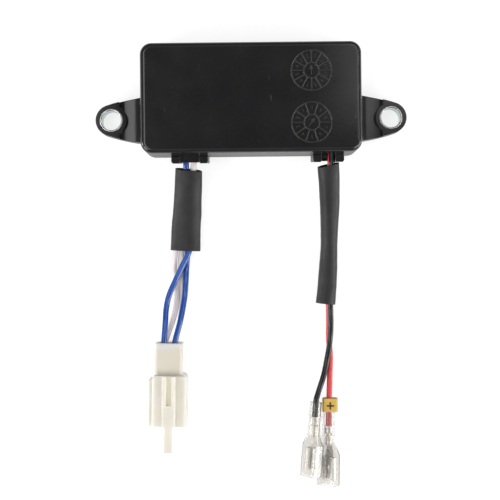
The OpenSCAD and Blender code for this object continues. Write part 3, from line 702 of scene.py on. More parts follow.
def link_mesh(
    name: str, points: Sequence[Vector], faces: Sequence[Sequence[int]], crease: float
) -> Piece:
    """Makes a mesh object with smooth shading and adds it to the scene.

    Args:
        name: Name of the piece.
        points: Corner points in metres.
        faces: Corner numbers of each face.
        crease: Angle in degrees above which an edge stays sharp.

    Returns:
        The new object.
    """
    mesh = bpy.data.meshes.new(name)
    mesh.from_pydata([tuple(p) for p in points], [], faces)
    work = bmesh.new()
    work.from_mesh(mesh)
    bmesh.ops.recalc_face_normals(work, faces=work.faces)
    work.to_mesh(mesh)
    work.free()
    mesh.shade_smooth()
    mesh.set_sharp_from_angle(angle=math.radians(crease))
    made = bpy.data.objects.new(name, mesh)
    bpy.context.scene.collection.objects.link(made)
    return made


def loft(name: str, rings: Sequence[Ring], loop: bool, crease: float = 50.0) -> Piece:
    """Makes a mesh through rings of points.

    Args:
        name: Name of the piece.
        rings: Rings with the same number of points each.
        loop: True where the last ring joins the first, as in a tube with a wall.
        crease: Angle in degrees above which an edge stays sharp.

    Returns:
        The new object.
    """
    count, size = len(rings), len(rings[0])
    faces: list[list[int]] = []
    for i in range(count if loop else count - 1):
        for j in range(size):
            k, after = (j + 1) % size, (i + 1) % count
            faces.append([i * size + j, i * size + k, after * size + k, after * size + j])
    if not loop:
        faces.append(list(range(size)))
        faces.append(list(range((count - 1) * size, count * size)))
    return link_mesh(name, [p for ring in rings for p in ring], faces, crease)


def extrude_outline(
    name: str, outline: Sequence[Point], low: float, high: float, rim: float
) -> Piece:
    """Raises a flat outline into a plate with a bevelled upper edge.

    Args:
        name: Name of the piece.
        outline: Corners in X and Y, in millimetres.
        low: Height of the underside in millimetres.
        high: Height of the upper side in millimetres.
        rim: Share by which the upper side is smaller than the outline.

    Returns:
        The new object.
    """
    size = len(outline)
    cx, cy = (sum(values) / size for values in zip(*outline))
    shoulder = (1 - PLATE_SHOULDER) * low + PLATE_SHOULDER * high
    rings = []
    for height, share in ((low, 0.0), (shoulder, 0.0), (high, rim)):
        corners = [(x + share * (cx - x), y + share * (cy - y), height) for x, y in outline]
        rings.append([Vector(corner) * MM for corner in corners])
    return loft(name, rings, False, PLATE_CREASE)


# Cords and what is on them


@dataclass
class Lead:
    """One insulated lead, a free cord of the length that the photograph shows.

    Attributes:
        node: CAD node that it stands for, and the piece's name with a suffix.
        look: Finish of the insulation.
        slot: Material slot of the record; not used.
        route: Points from the board to the far end, in millimetres, with Y from the lead wall.
        length: Real length in metres; not used.
        far_end: What the far end is; not used.
        diameter: Diameter over the insulation in millimetres.
        strands: Strands that show through the insulation as ridges.
        ridge: Depth of the ridges in millimetres.
        lay: Length of one turn of the strands in millimetres.
        sides: Points round the insulation.
        steps: Rings for each stretch of the route.
        piece: The made insulation.
        line: Its centreline in metres.
    """

    node: str
    look: Look
    slot: str
    route: Sequence[Point]
    length: float
    far_end: str
    diameter: float = 2.1
    strands: int = 7
    ridge: float = 0.02
    lay: float = 14.0
    sides: int = 28
    steps: int = 10
    piece: Piece | None = None
    line: list[Vector] = field(default_factory=list)

    def build(self) -> Piece:
        """Sweeps the insulation along the route.

        Returns:
            The made piece.
        """
        self.line = [row_point(p) for p in smooth_line(self.route, self.steps)]
        angles = [2 * math.pi * j / self.sides for j in range(self.sides)]
        rings: list[Ring] = []
        run = 0.0
        for i, (point, way) in enumerate(zip(self.line, directions(self.line))):
            if i:
                run += (point - self.line[i - 1]).length
            rings.append([self.skin(point, way, angle, run) for angle in angles])
        self.piece = loft(self.node + "_insulation", rings, False)
        return self.piece

    def skin(self, point: Vector, way: Way, angle: float, run: float) -> Vector:
        """Finds one point of the insulation's surface.

        Args:
            point: Point of the centreline.
            way: Heading, level side and upward direction there.
            angle: Angle round the lead.
            run: Distance along the lead in metres.

        Returns:
            The surface point.
        """
        _, side, up = way
        wave = math.cos(self.strands * angle - 2 * math.pi * run / (self.lay * MM))
        radius = (self.diameter / 2 - self.ridge * (0.5 - 0.5 * wave)) * MM
        return point + radius * (math.cos(angle) * side + math.sin(angle) * up)

    def dress(self, palette: Palette, pieces: Sequence[Piece]) -> None:
        """Args:
            palette: Materials of all finishes.
            pieces: Separate pieces on the lead; not used.
        """
        palette.settle(self.piece, self.look, self.node)


@dataclass
class Sleeve:
    """Soft tubing over a group of leads, flattened by what it holds.

    Attributes:
        node: CAD node that it stands for, and the piece's name with a suffix.
        route: Points with the tubing's width and height, in millimetres, with Y from the lead wall.
        slant: Lean of the cut at the upper end.
        slant_reach: Distance over which the lean fades, in millimetres.
        wall: Wall of the tubing in millimetres.
        fullness: Exponent of the section's curve; 2 is an ellipse.
        dent: Depth of the tubing's uneven dents in millimetres.
        dent_cells: Broad and fine dents for each metre.
        dent_fine: Depth of the fine dents as a share of the broad ones.
        dent_sink: Share of the depth by which all dents lie inward.
        sides: Points round the tubing.
        steps: Rings for each stretch of the route.
        piece: The made tubing.
        stations: Smoothed route.
        line: Its centreline in metres.
        ways: Directions along the centreline.
    """

    node: str
    route: Sequence[Point]
    slant: float
    slant_reach: float = 4.0
    wall: float = 0.6
    fullness: float = 2.2
    dent: float = 0.1
    dent_cells: tuple[float, float] = (160.0, 420.0)
    dent_fine: float = 0.4
    dent_sink: float = 0.2
    sides: int = 48
    steps: int = 8
    piece: Piece | None = None
    stations: list[Point] = field(default_factory=list)
    line: list[Vector] = field(default_factory=list)
    ways: list[Way] = field(default_factory=list)

    def build(self) -> Piece:
        """Lofts the tubing with its wall and rounded cut ends.

        Returns:
            The made piece.
        """
        self.stations = smooth_line(self.route, self.steps)
        self.line = [row_point(p) for p in self.stations]
        self.ways = directions(self.line)
        last = len(self.line) - 1
        near, far = (share * self.wall for share in END_SHARES)
        outer = [self.ring(i, 0.0) for i in range(last + 1)]
        stop = [self.ring(last, inset, END_ROUND) for inset in (near, far)]
        inner = [self.ring(i, self.wall) for i in range(last, -1, -1)]
        start = [self.ring(0, inset, -END_ROUND) for inset in (far, near)]
        self.piece = loft(self.node + "_tubing", outer + stop + inner + start, True, SOFT_CREASE)
        return self.piece

    def section(self, width: float, height: float, angle: float) -> tuple[float, float]:
        """Finds a point of the flattened section.

        Args:
            width: Width of the section in millimetres.
            height: Height of the section in millimetres.
            angle: Angle round the tubing.

        Returns:
            The point's distances sideways and upward, in millimetres.
        """
        power = 2 / self.fullness
        cosine, sine = math.cos(angle), math.sin(angle)
        sideways = width / 2 * math.copysign(abs(cosine) ** power, cosine)
        return sideways, height / 2 * math.copysign(abs(sine) ** power, sine)

    def ring(self, i: int, inset: float, past: float = 0.0) -> Ring:
        """Sets one ring of the tubing across its route.

        Args:
            i: Number of the station.
            inset: Distance inside the tubing's outer face, in millimetres.
            past: Distance that the ring stands past its station, in millimetres.

        Returns:
            The ring's points.
        """
        heading, side, up = self.ways[i]
        *_, width, height = self.stations[i]
        broad, fine = self.dent_cells
        fade = max(0.0, 1.0 - (self.line[i] - self.line[0]).length / (self.slant_reach * MM))
        ring = []
        for j in range(self.sides):
            angle = 2 * math.pi * j / self.sides
            x, z = self.section(width - 2 * inset, height - 2 * inset, angle)
            point = self.line[i] + MM * (x * side + z * up + (past + fade * self.slant * x) * heading)
            swell = noise.noise(point * broad) + self.dent_fine * noise.noise(point * fine)
            outward = math.cos(angle) * side + math.sin(angle) * up
            ring.append(point + MM * (self.dent * (swell - self.dent_sink)) * outward)
        return ring

    def dress(self, palette: Palette) -> None:
        """Finishes the tubing and puts it on its body."""
        palette.settle(self.piece, Look.SLEEVE, self.node)


@dataclass
class Boot:
    """Clear boot over a spade terminal: a round neck that widens into a flat mouth.

    Attributes:
        node: CAD node that it stands for, and the piece's name with a suffix.
        place: End of the neck in millimetres, with Y from the lead wall.
        turn: Turn in plan in degrees.
        roll: Roll about the lead in degrees.
        neck: Diameter of the neck in millimetres.
        mouth: Width and thickness at the mouth in millimetres.
        wall: Wall of the boot in millimetres.
        stations: Distance from the neck's end, share of the way from neck to mouth, and corner radius.
        bead: Place, half length and height of the ring round the neck, in millimetres.
        least_corner: Smallest corner radius in millimetres.
        least_flat: Smallest half flat between two corners, in millimetres.
        corner_steps: Faces round each corner.
        steps: Rings for each stretch between stations.
        piece: The made boot.
    """

    node: str
    place: Point
    turn: float
    roll: float
    neck: float = 4.4
    mouth: tuple[float, float] = (7.25, 4.7)
    wall: float = 0.45
    stations: Sequence[Point] = (
        (0, 0, 2.15), (5, 0, 2.15), (10.2, 0, 2.15), (11.8, 0.12, 2.0), (13.4, 0.5, 1.4), (15, 0.9, 0.9),
        (16.2, 1, 0.7), (21, 1, 0.7), (26.5, 1, 0.7),
    )
    bead: tuple[float, float, float] = (4.9, 0.35, 0.1)
    least_corner: float = 0.3
    least_flat: float = 0.02
    corner_steps: int = 8
    steps: int = 14
    piece: Piece | None = None

    def placing(self) -> Matrix:
        """Works out how the boot lies, with the lead along its own -Y.

        Returns:
            The boot's own frame in the row frame.
        """
        turn = Matrix.Rotation(math.radians(self.turn), 4, "Z")
        roll = Matrix.Rotation(math.radians(self.roll), 4, "Y")
        return Matrix.Translation(row_point(self.place)) @ (turn @ roll)

    def ring(self, distance: float, share: float, corner: float, inset: float) -> Ring:
        """Sets one ring of the boot.

        Args:
            distance: Distance from the neck's end in millimetres.
            share: Share of the way from neck to mouth.
            corner: Corner radius in millimetres.
            inset: Distance inside the boot's outer face in millimetres.

        Returns:
            The ring's points in the row frame.
        """
        placing = self.placing()
        share = min(max(share, 0.0), 1.0)
        place, half, height = self.bead
        swell = height * max(0.0, 1 - ((distance - place) / half) ** 2)
        width, depth = (
            self.neck + share * (side - self.neck) - 2 * inset + 2 * swell for side in self.mouth
        )
        largest = min(width, depth) / 2 - self.least_flat
        radius = min(max(corner - inset / 2, self.least_corner), largest)
        points = []
        for quarter in range(4):
            sx, sz = (1 if quarter in (0, 3) else -1), (1 if quarter < 2 else -1)
            for step in range(self.corner_steps + 1):
                angle = math.radians(90 * quarter + 90 * step / self.corner_steps)
                x = sx * (width / 2 - radius) + radius * math.cos(angle)
                z = sz * (depth / 2 - radius) + radius * math.sin(angle)
                points.append(placing @ (Vector((x, -distance, z)) * MM))
        return points

    def build(self) -> Piece:
        """Lofts the boot with its wall and rounded ends.

        Returns:
            The made piece.
        """
        line = smooth_line(self.stations, self.steps)
        (first, *neck), (last, *mouth) = line[0], line[-1]
        near, far = (share * self.wall for share in END_SHARES)
        outer = [self.ring(*station, 0.0) for station in line]
        stop = [self.ring(last + END_ROUND, *mouth, inset) for inset in (near, far)]
        inner = [self.ring(*station, self.wall) for station in reversed(line)]
        start = [self.ring(first - END_ROUND, *neck, inset) for inset in (far, near)]
        self.piece = loft(self.node + "_vinyl", outer + stop + inner + start, True, SOFT_CREASE)
        return self.piece

    def dress(self, palette: Palette) -> None:
        """Finishes the boot and puts it on its body."""
        palette.settle(self.piece, Look.BOOT, self.node)


@dataclass
class Marker:
    """Printed plus sign on the marker ring of the red lead.

    Attributes:
        place: Middle of the sign in millimetres, in the row frame.
        arm: Length of an arm from the middle, in millimetres.
        half: Half the width of an arm, in millimetres.
        height: Height of the print above the ring, in millimetres.
        sink: Depth of the print in the ring, in millimetres.
        rim: Share by which the print's upper side is smaller.
        piece: The made sign.
    """

    place: Point = (27.28, -102.9, 6.2)
    arm: float = 1.32
    half: float = 0.31
    height: float = 0.05
    sink: float = 0.1
    rim: float = 0.03
    piece: Piece | None = None

    def build(self) -> Piece:
        """Raises the plus sign.

        Returns:
            The made piece.
        """
        arm, half = self.arm, self.half
        x, y, top = self.place
        outline = []
        for turn in range(4):
            quarter = Matrix.Rotation(turn * math.pi / 2, 2)
            corners = [quarter @ Vector(corner) for corner in ((arm, -half), (arm, half), (half, half))]
            outline += [(x + corner.x, y + corner.y) for corner in corners]
        self.piece = extrude_outline("plus_sign", outline, top - self.sink, top + self.height, self.rim)
        return self.piece

    def dress(self, palette: Palette) -> None:
        """Finishes the sign and puts it on its body."""
        palette.settle(self.piece, Look.INK)


# Case and other solids


@dataclass
class DateDial:
    """Raised numbers, pointer and lines of one moulded date dial.

    Attributes:
        name: Name of the piece.
        centre: Centre of the dial on the front face, in millimetres.
        numbers: Number in each sector, counterclockwise from the first.
        first: Angle of the first sector's middle in degrees.
        pointer: Angle of the pointer in degrees.
        face: Height of the front face in millimetres.
        relief: Height of the numbers above it in millimetres.
        sink: Depth of the pointer and the lines in the face, in millimetres.
        radius: Radius of the numbers' middles in millimetres.
        size: Height of a number in millimetres.
        arrow: Distances of the pointer's tail, neck and tip from the centre, in millimetres.
        arrow_half: Half widths of its shaft and its head in millimetres.
        rings: Outer radius of the two raised rings in millimetres.
        ring_steps: Plates in each ring.
        line: Width of the rings and of the lines between sectors, in millimetres.
        line_relief: Height of the raised tops of those lines in millimetres.
        piece: The made numbers, pointer and lines.
    """

    name: str
    centre: tuple[float, float]
    numbers: Sequence[str]
    first: float
    pointer: float
    face: float = 20.0
    relief: float = 0.12
    sink: float = 0.1
    radius: float = 5.0
    size: float = 1.9
    arrow: tuple[float, float, float] = (-1.7, 0.4, 1.9)
    arrow_half: tuple[float, float] = (0.16, 0.75)
    rings: tuple[float, float] = (7.1, 2.8)
    ring_steps: int = 72
    line: float = 0.24
    line_relief: float = 0.17
    piece: Piece | None = None

    def glyph(self, text: str) -> bpy.types.Mesh:
        """Makes a number as a raised mesh about its own middle, in metres.

        Args:
            text: The number.

        Returns:
            The mesh.
        """
        curve = bpy.data.curves.new("number", "FONT")
        curve.body = text
        curve.size = self.size * MM
        curve.extrude = self.relief * MM
        curve.align_x = "CENTER"
        curve.align_y = "CENTER"
        holder = bpy.data.objects.new("number", curve)
        bpy.context.scene.collection.objects.link(holder)
        bpy.context.view_layer.update()
        shown = holder.evaluated_get(bpy.context.evaluated_depsgraph_get())
        mesh = bpy.data.meshes.new_from_object(shown)
        bpy.data.objects.remove(holder)
        bpy.data.curves.remove(curve)
        return mesh

    def build(self) -> Piece:
        """Sets the numbers, the pointer and the lines into one mesh.

        Returns:
            The made piece.
        """
        work = bmesh.new()
        spot = Vector((*self.centre, self.face)) * MM
        for i, text in enumerate(self.numbers):
            angle = math.radians(self.first + 360 * i / len(self.numbers))
            mesh = self.glyph(text)
            outward = Vector((math.cos(angle), math.sin(angle), 0)) * self.radius * MM
            turn = Matrix.Rotation(angle - math.pi / 2, 4, "Z")
            mesh.transform(Matrix.Translation(spot + outward) @ turn)
            work.from_mesh(mesh)
            bpy.data.meshes.remove(mesh)
        self.add_pointer(work, spot)
        self.add_lines(work, spot)
        mesh = bpy.data.meshes.new(self.name)
        work.to_mesh(mesh)
        work.free()
        self.piece = bpy.data.objects.new(self.name, mesh)
        bpy.context.scene.collection.objects.link(self.piece)
        return self.piece

    def add_pointer(self, work: bmesh.types.BMesh, spot: Vector) -> None:
        """Adds the raised arrow at the dial's middle.

        Args:
            work: Mesh that takes the arrow.
            spot: Middle of the dial in metres.
        """
        tail, neck, tip = self.arrow
        shaft, head = self.arrow_half
        lower = [(tail, -shaft), (neck, -shaft), (neck, -head)]
        upper = [(x, -y) for x, y in reversed(lower)]
        self.add_plate(work, spot, self.pointer, [*lower, (tip, 0), *upper], self.relief)

    def add_lines(self, work: bmesh.types.BMesh, spot: Vector) -> None:
        """Adds the raised tops of the two rings and of the lines between the sectors.

        Args:
            work: Mesh that takes the tops.
            spot: Middle of the dial in metres.
        """
        half, count = self.line / 2, len(self.numbers)
        start, stop = self.rings[1], self.rings[0] - self.line
        stretch = [(start, -half), (stop, -half), (stop, half), (start, half)]
        for i in range(count):
            self.add_plate(work, spot, 360 * i / count, stretch, self.line_relief)
        step = 2 * math.pi / self.ring_steps
        ends = (1.0, 0.0), (math.cos(step), math.sin(step))
        for outer in self.rings:
            inner = outer - self.line
            corners = ((inner, ends[0]), (outer, ends[0]), (outer, ends[1]), (inner, ends[1]))
            arc = [(radius * x, radius * y) for radius, (x, y) in corners]
            for i in range(self.ring_steps):
                self.add_plate(work, spot, 360 * i / self.ring_steps, arc, self.line_relief)

    def add_plate(
        self,
        work: bmesh.types.BMesh,
        spot: Vector,
        angle: float,
        outline: Sequence[Point],
        height: float,
    ) -> None:
        """Adds one raised plate of the dial.

        Args:
            work: Mesh that takes the plate.
            spot: Middle of the dial in metres.
            angle: Turn about that middle in degrees.
            outline: Corners in X and Y in millimetres, counterclockwise.
            height: Height above the front face in millimetres.
        """
        turn = Matrix.Translation(spot) @ Matrix.Rotation(math.radians(angle), 4, "Z")
        lower, upper = (
            [work.verts.new(turn @ (Vector((x, y, level)) * MM)) for x, y in outline]
            for level in (-self.sink, height)
        )
        work.faces.new(upper)
        work.faces.new(lower[::-1])
        for i in range(len(outline)):
            k = (i + 1) % len(outline)
            work.faces.new((lower[i], lower[k], upper[k], upper[i]))

    def dress(self, palette: Palette) -> None:
        """Finishes the dial and puts it on its body."""
        palette.settle(self.piece, Look.DIAL)


@dataclass
class SolidParts:
    """CAD nodes that show as they are, with a finish.

    Attributes:
        nodes: Nodes of each finish.
    """

    nodes: dict[Look, Sequence[str]] = field(
        default_factory=lambda: {
            Look.CASE: ["case"],
            Look.ZINC: ["left_eyelet", "right_eyelet"],
            Look.SEAL: ["left_lead_seal", "right_lead_seal"],
            Look.POTTING: ["potting"],
            Look.BOARD: ["circuit_board"],
            Look.PACKAGE: ["rectifier_diodes", "power_transistor", "signal_transistors"],
            Look.CAN: ["filter_capacitor", "timing_capacitor"],
            Look.FILM: ["film_capacitor"],
            Look.LACQUER: ["power_resistor", "resistors"],
            Look.DIODE: ["zener_diodes"],
            Look.STRANDS: ["soldered_wire_ends", "crimped_wire_ends"],
            Look.NYLON: ["plug_housing"],
            Look.BRASS: ["plug_contacts"],
            Look.TIN: ["red_terminal", "black_terminal"],
            Look.MARKER: ["plus_marker"],
        }
    )

    def dress(self, palette: Palette) -> None:
        """Finishes every node.

        Args:
            palette: Materials of all finishes.
        """
        for look, names in self.nodes.items():
            for name in names:
                palette.put(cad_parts[name], look)
                LOG.info("%s: %s", name, look.value)


# Studio


@dataclass
class Softbox:
    """One soft area lamp: a softbox, a panel or a strip.

    Attributes:
        name: Name of the lamp.
        place: Where it stands in metres.
        target: Where it points in metres.
        size: Width and height in metres.
        power: Power in watts.
    """

    name: str
    place: Point
    target: Point
    size: tuple[float, float]
    power: float

    def build(self) -> None:
        """Sets up the lamp."""
        lamp = bpy.data.lights.new(self.name, "AREA")
        lamp.shape = "RECTANGLE"
        lamp.size, lamp.size_y = self.size
        lamp.energy = self.power
        holder = bpy.data.objects.new(self.name, lamp)
        holder.location = self.place
        sight = Vector(self.target) - Vector(self.place)
        holder.rotation_euler = sight.to_track_quat("-Z", "Y").to_euler()
        bpy.context.scene.collection.objects.link(holder)


@dataclass
class Studio:
    """Camera, pale floor, soft lamps and surroundings of the product photograph.

    Attributes:
        camera_place: Where the camera stands in millimetres, looking straight down.
        camera_roll: Turn of the camera about its line of sight, in degrees.
        lens: Focal length in millimetres.
        sensor: Width of the sensor in millimetres.
        clip: Nearest and farthest distance that the camera sees, in metres.
        floor_size: Side of the floor in metres.
        floor_level: Height of the floor in millimetres, just under the part.
        floor_colour: Colour of the floor.
        floor_glow: Extra light of the floor towards the camera.
        lamps: The soft lamps.
        sky: Sine of the height above the floor, and the share of the surroundings' brightness there.
        sky_strength: Full brightness of the ring of light overhead.
    """

    camera_place: Point = (-0.876, -46.81, 432.0)
    camera_roll: float = -0.6
    lens: float = 85.68
    sensor: float = 36.0
    clip: tuple[float, float] = (0.01, 20.0)
    floor_size: float = 4.0
    floor_level: float = -0.3
    floor_colour: Colour = (0.4, 0.4, 0.4)
    floor_glow: float = 0.75
    lamps: Sequence[Softbox] = (
        Softbox("front_left_softbox", (-0.62, -0.45, 0.42), (0.0, -0.05, 0.0), (0.4, 0.3), 3.2),
        Softbox("front_right_softbox", (0.5, -0.5, 0.55), (0.0, -0.05, 0.0), (0.4, 0.3), 2.3),
        Softbox("left_low_panel", (-0.8, -0.12, 0.16), (0.0, -0.12, 0.0), (0.2, 0.28), 2.0),
        Softbox("right_low_panel", (0.8, -0.28, 0.16), (0.0, -0.1, 0.0), (0.5, 0.28), 3.8),
        Softbox("right_strip", (0.65, -0.02, 0.58), (0.0, -0.05, 0.0), (0.7, 0.03), 0.8),
        Softbox("right_panel", (0.28, 0.31, 0.62), (0.28, 0.31, 0.0), (0.4, 0.5), 0.8),
        Softbox("left_panel", (-0.32, -0.05, 0.7), (-0.32, -0.05, 0.0), (0.34, 0.6), 1.6),
    )
    sky: Sequence[tuple[float, float]] = (
        (0.0, 0.2), (0.5, 0.3), (0.8, 0.4), (0.85, 1.0), (0.95, 1.0), (0.975, 0.1),
    )
    sky_strength: float = 0.45

    def build(self) -> None:
        """Clears what Blender starts with and sets up the whole studio."""
        for name in ("Cube", "Light", "Camera"):
            if name in bpy.data.objects:
                bpy.data.objects.remove(bpy.data.objects[name])
        self.add_camera()
        self.add_floor()
        self.light_surroundings()
        for lamp in self.lamps:
            lamp.build()
        bpy.context.scene.view_settings.view_transform = "Standard"

    def add_camera(self) -> None:
        """Hangs the camera over the part."""
        camera = bpy.data.cameras.new("product_camera")
        camera.lens = self.lens
        camera.sensor_width = self.sensor
        camera.clip_start, camera.clip_end = self.clip
        holder = bpy.data.objects.new("product_camera", camera)
        holder.location = Vector(self.camera_place) * MM
        holder.rotation_euler = (0.0, 0.0, math.radians(self.camera_roll))
        bpy.context.scene.collection.objects.link(holder)
        bpy.context.scene.camera = holder

    def add_floor(self) -> None:
        """Lays the pale floor that keeps the part's shadow."""
        half, level = self.floor_size / 2, self.floor_level * MM
        signs = ((-1, -1), (1, -1), (1, 1), (-1, 1))
        corners = [Vector((x * half, y * half, level)) for x, y in signs]
        floor = link_mesh("pale_floor", corners, [(0, 1, 2, 3)], PLATE_CREASE)
        floor.data.materials.append(self.floor_material())

    def floor_material(self) -> bpy.types.Material:
        """Makes a matt white that the camera, gloss and glass see a little brighter than it is lit.

        Returns:
            The new material.
        """
        material = bpy.data.materials.new("pale_floor")
        material.use_nodes = True
        tree = Nodes(material.node_tree)
        path = tree.add("LightPath", {})
        seen = path.outputs["Is Camera Ray"]
        for kind in ("Is Glossy Ray", "Is Transmission Ray"):
            seen = tree.combine("MAXIMUM", seen, path.outputs[kind])
        glow = tree.add("Emission", {"Strength": tree.combine("MULTIPLY", seen, self.floor_glow)})
        matt = tree.add("BsdfDiffuse", {"Color": (*self.floor_colour, 1.0)})
        both = tree.add("AddShader", {0: matt.outputs["BSDF"], 1: glow.outputs["Emission"]})
        tree.add("OutputMaterial", {"Surface": both.outputs["Shader"]})
        return material

    def light_surroundings(self) -> None:
        """Lights the part from a ring of pale screens overhead, open in the middle for the camera."""
        world = bpy.data.worlds.new("pale_surroundings")
        bpy.context.scene.world = world
        world.use_nodes = True
        tree = Nodes(world.node_tree)
        height = tree.axes(tree.add("TexCoord", {}).outputs["Generated"])[2]
        ramp = tree.add("ValToRGB", {"Fac": height})
        stops = ramp.color_ramp.elements
        for i, (place, level) in enumerate(self.sky):
            step = stops[i] if i < len(stops) else stops.new(place)
            step.position = place
            step.color = (level, level, level, 1.0)
        colour = ramp.outputs["Color"]
        glow = tree.add("Background", {"Color": colour, "Strength": self.sky_strength})
        tree.add("OutputWorld", {"Surface": glow.outputs["Background"]})


# The whole part

PLUG_END = -72.1
LEADS: tuple[Lead, ...] = (
    Lead(
        "blue_lead_1", Look.BLUE, "blue_insulation",
        (
            (-23.3, 6, 7.2), (-23.3, -2.9, 7.2), (-23.5, -7, 6.2), (-24.4, -11.5, 6.5),
            (-24.2, -16, 6.6), (-23.3, -20.5, 6.2), (-22.5, -25, 4.9), (-22.4, -29.5, 4.4),
            (-22.6, -33.7, 4.3), (-25, -38.8, 4.2), (-27.8, -44.5, 4.2), (-30.1, -49.8, 4.7),
            (-31.1, -54.5, 5.6), (-31.4, -59.5, 7), (-31.91, -67.2, 8.2), (-32.03, PLUG_END, 8.2),
        ),
        length=0.081, far_end="plug",
    ),
    Lead(
        "blue_lead_2", Look.BLUE, "blue_insulation",
        (
            (-23.3, 9.4, 9.4), (-23.3, -2.9, 9.4), (-23.5, -7, 8.6), (-22.7, -11.5, 8.2),
            (-21.8, -16, 6.6), (-21.6, -20.5, 4.5), (-22.5, -25, 2.5), (-22.9, -29.5, 2.2),
            (-23.3, -33.7, 1.9), (-23.8, -38.8, 1.8), (-24.1, -44.5, 2.8), (-24.5, -49.8, 3.5),
            (-25.2, -54.5, 4.7), (-26.2, -59.5, 6.3), (-28.11, -67.2, 8.2), (-28.23, PLUG_END, 8.2),
        ),
        length=0.084, far_end="plug",
    ),
    Lead(
        "white_lead_1", Look.WHITE, "white_insulation",
        (
            (-20.6, 6, 7.2), (-20.6, -2.9, 7.2), (-21.1, -7, 6.2), (-22.7, -11.5, 4.8),
            (-24.2, -16, 4.2), (-25, -20.5, 4.5), (-24.9, -25, 4.9), (-26.6, -29.5, 3.8),
            (-27.7, -33.7, 2.8), (-28.3, -38.8, 2.1), (-27.8, -44.5, 1.4), (-27.4, -49.8, 1.3),
            (-27.9, -54.5, 1.7), (-29.2, -59.5, 2.6), (-31.91, -67.2, 4.2), (-32.03, PLUG_END, 4.2),
        ),
        length=0.081, far_end="plug", ridge=0.012,
    ),
    Lead(
        "white_lead_2", Look.WHITE, "white_insulation",
        (
            (-20.6, 9.4, 9.4), (-20.6, -2.9, 9.4), (-21.1, -7, 8.6), (-21, -11.5, 6.5),
            (-21.8, -16, 4.2), (-23.3, -20.5, 2.8), (-24.9, -25, 2.5), (-25, -29.5, 2.2),
            (-25.5, -33.7, 1.9), (-26, -38.8, 1.4), (-25.6, -44.5, 1.2), (-25.2, -49.8, 1.2),
            (-25.6, -54.5, 1.6), (-26.4, -59.5, 2.6), (-28.11, -67.2, 4.2), (-28.23, PLUG_END, 4.2),
        ),
        length=0.084, far_end="plug", ridge=0.012,
    ),
    Lead(
        "red_lead", Look.RED, "red_insulation",
        (
            (27.7, 6, 13.5), (27.7, -2.9, 13.5), (27.5, -8, 12.6), (27, -13, 10.5), (27.1, -18, 8.1),
            (27.3, -24, 5.8), (27.4, -31.5, 3.8), (27.2, -38, 3), (27, -45, 2.5), (27.3, -53.3, 2.1),
            (27.4, -59.5, 1.6), (27.3, -66, 1.4), (27.7, -72.5, 1.7), (27.4, -79.5, 2.7),
            (27.1, -86.5, 3.7), (26.86, -92, 4), (26.73, -98.6, 4),
        ),
        length=0.107, far_end="connector", ridge=0.012,
    ),
    Lead(
        "black_lead", Look.BLACK, "black_insulation",
        (
            (28.1, 9.4, 15.6), (28.1, -2.9, 15.6), (28, -8, 14.7), (27.9, -13, 12.5), (28, -18, 10.1),
            (27.9, -24, 7.9), (27.6, -31.5, 6), (27.4, -38, 5.2), (27.5, -45, 4.7), (27.8, -53.3, 4.2),
            (27.9, -59.5, 3.9), (27.6, -66, 3.8), (26.6, -72.5, 3.9), (25, -79.5, 4.5),
            (22.7, -86.2, 5.5), (22.15, -88.6, 5.6), (21.65, -95.1, 5.6),
        ),
        length=0.107, far_end="connector", ridge=0.05, lay=9.0,
    ),
)
SLEEVES: tuple[Sleeve, ...] = (
    Sleeve(
        "left_sleeve",
        (
            (-22.4, -5, 7.7, 9.7, 7.4), (-22.5, -8, 7.2, 9.8, 7.4), (-22.7, -11.5, 6.5, 9.9, 7.4),
            (-23, -16, 5.4, 10.1, 7.2), (-23.3, -20.5, 4.5, 10.3, 7), (-23.7, -25, 3.8, 10.5, 6.6),
            (-23.9, -29.5, 3.4, 10.7, 6.3), (-24.1, -33.7, 3.2, 10.8, 6.1),
        ),
        slant=0.09,
    ),
    Sleeve(
        "right_sleeve",
        (
            (26.9, -4.3, 14.4, 7.7, 6.2), (27.1, -8, 13.6, 7.6, 6.2), (27.4, -13, 11.5, 7.3, 6.3),
            (27.6, -18, 9.2, 7, 6.4), (27.6, -24, 6.9, 6.5, 6.8), (27.5, -31.5, 5, 6.1, 7.2),
            (27.3, -38, 4.2, 6.4, 7), (26.9, -45, 3.8, 6.8, 6.8), (26.5, -49.5, 3.6, 7, 6.7),
            (26.1, -53.3, 3.5, 7.2, 6.6),
        ),
        slant=-0.15,
    ),
)
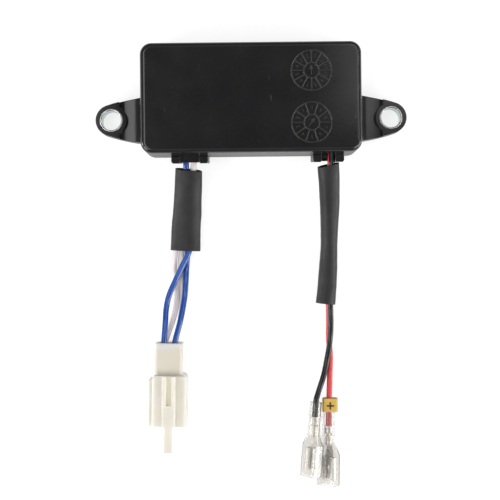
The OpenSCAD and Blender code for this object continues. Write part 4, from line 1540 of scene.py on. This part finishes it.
BOOTS: tuple[Boot, ...] = (
    Boot("red_boot", (26.86, -92.1, 4), turn=-1.05, roll=-35),
    Boot("black_boot", (22.15, -88.6, 5.6), turn=-4.4, roll=-52),
)
DIALS: tuple[DateDial, ...] = (
    DateDial("upper_dial_numbers", (21.0, 15.25), [str(n) for n in range(1, 13)], 75.0, 90.0),
    DateDial("lower_dial_numbers", (21.0, -2.75), [str(n) for n in range(10)], 90.0, 54.0),
)


def on_leads(made: dict[str, Piece]) -> dict[str, list[Piece]]:
    """Sorts the separate pieces by the lead that carries them.

    Args:
        made: Sleeves, boots and sign, by CAD node or name.

    Returns:
        The pieces of each lead, by the lead's CAD node.
    """
    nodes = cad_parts
    plug = [nodes["plug_housing"], nodes["plug_contacts"]]
    return {
        "blue_lead_1": [made["left_sleeve"], *plug],
        "blue_lead_2": plug,
        "white_lead_1": plug,
        "white_lead_2": plug,
        "red_lead": [
            made["right_sleeve"], made["red_boot"], made["plus_sign"],
            nodes["red_terminal"], nodes["plus_marker"], nodes["crimped_wire_ends"],
        ],
        "black_lead": [made["black_boot"], nodes["black_terminal"]],
    }


def build_all(things: Sequence[Lead | Sleeve | Boot | DateDial | Marker]) -> None:
    """Builds things in order and reports each piece.

    Args:
        things: What to build.
    """
    for thing in things:
        piece = thing.build()
        LOG.info("%s: %d faces", piece.name, len(piece.data.polygons))


def main() -> None:
    """Builds the studio, the cords and their pieces, the dials and all finishes."""
    logging.basicConfig(level=logging.INFO, format="%(name)s: %(message)s")
    Studio().build()
    palette = Palette()
    marker = Marker()
    build_all([*LEADS, *SLEEVES, *BOOTS, *DIALS, marker])
    SolidParts().dress(palette)
    for thing in (*SLEEVES, *BOOTS, *DIALS, marker):
        thing.dress(palette)
    made = {thing.node: thing.piece for thing in (*SLEEVES, *BOOTS)}
    made["plus_sign"] = marker.piece
    carried = on_leads(made)
    for lead in LEADS:
        lead.dress(palette, carried[lead.node])
    LOG.info("finishes: %d", len(palette.made))


if __name__ == "__main__":
    main()
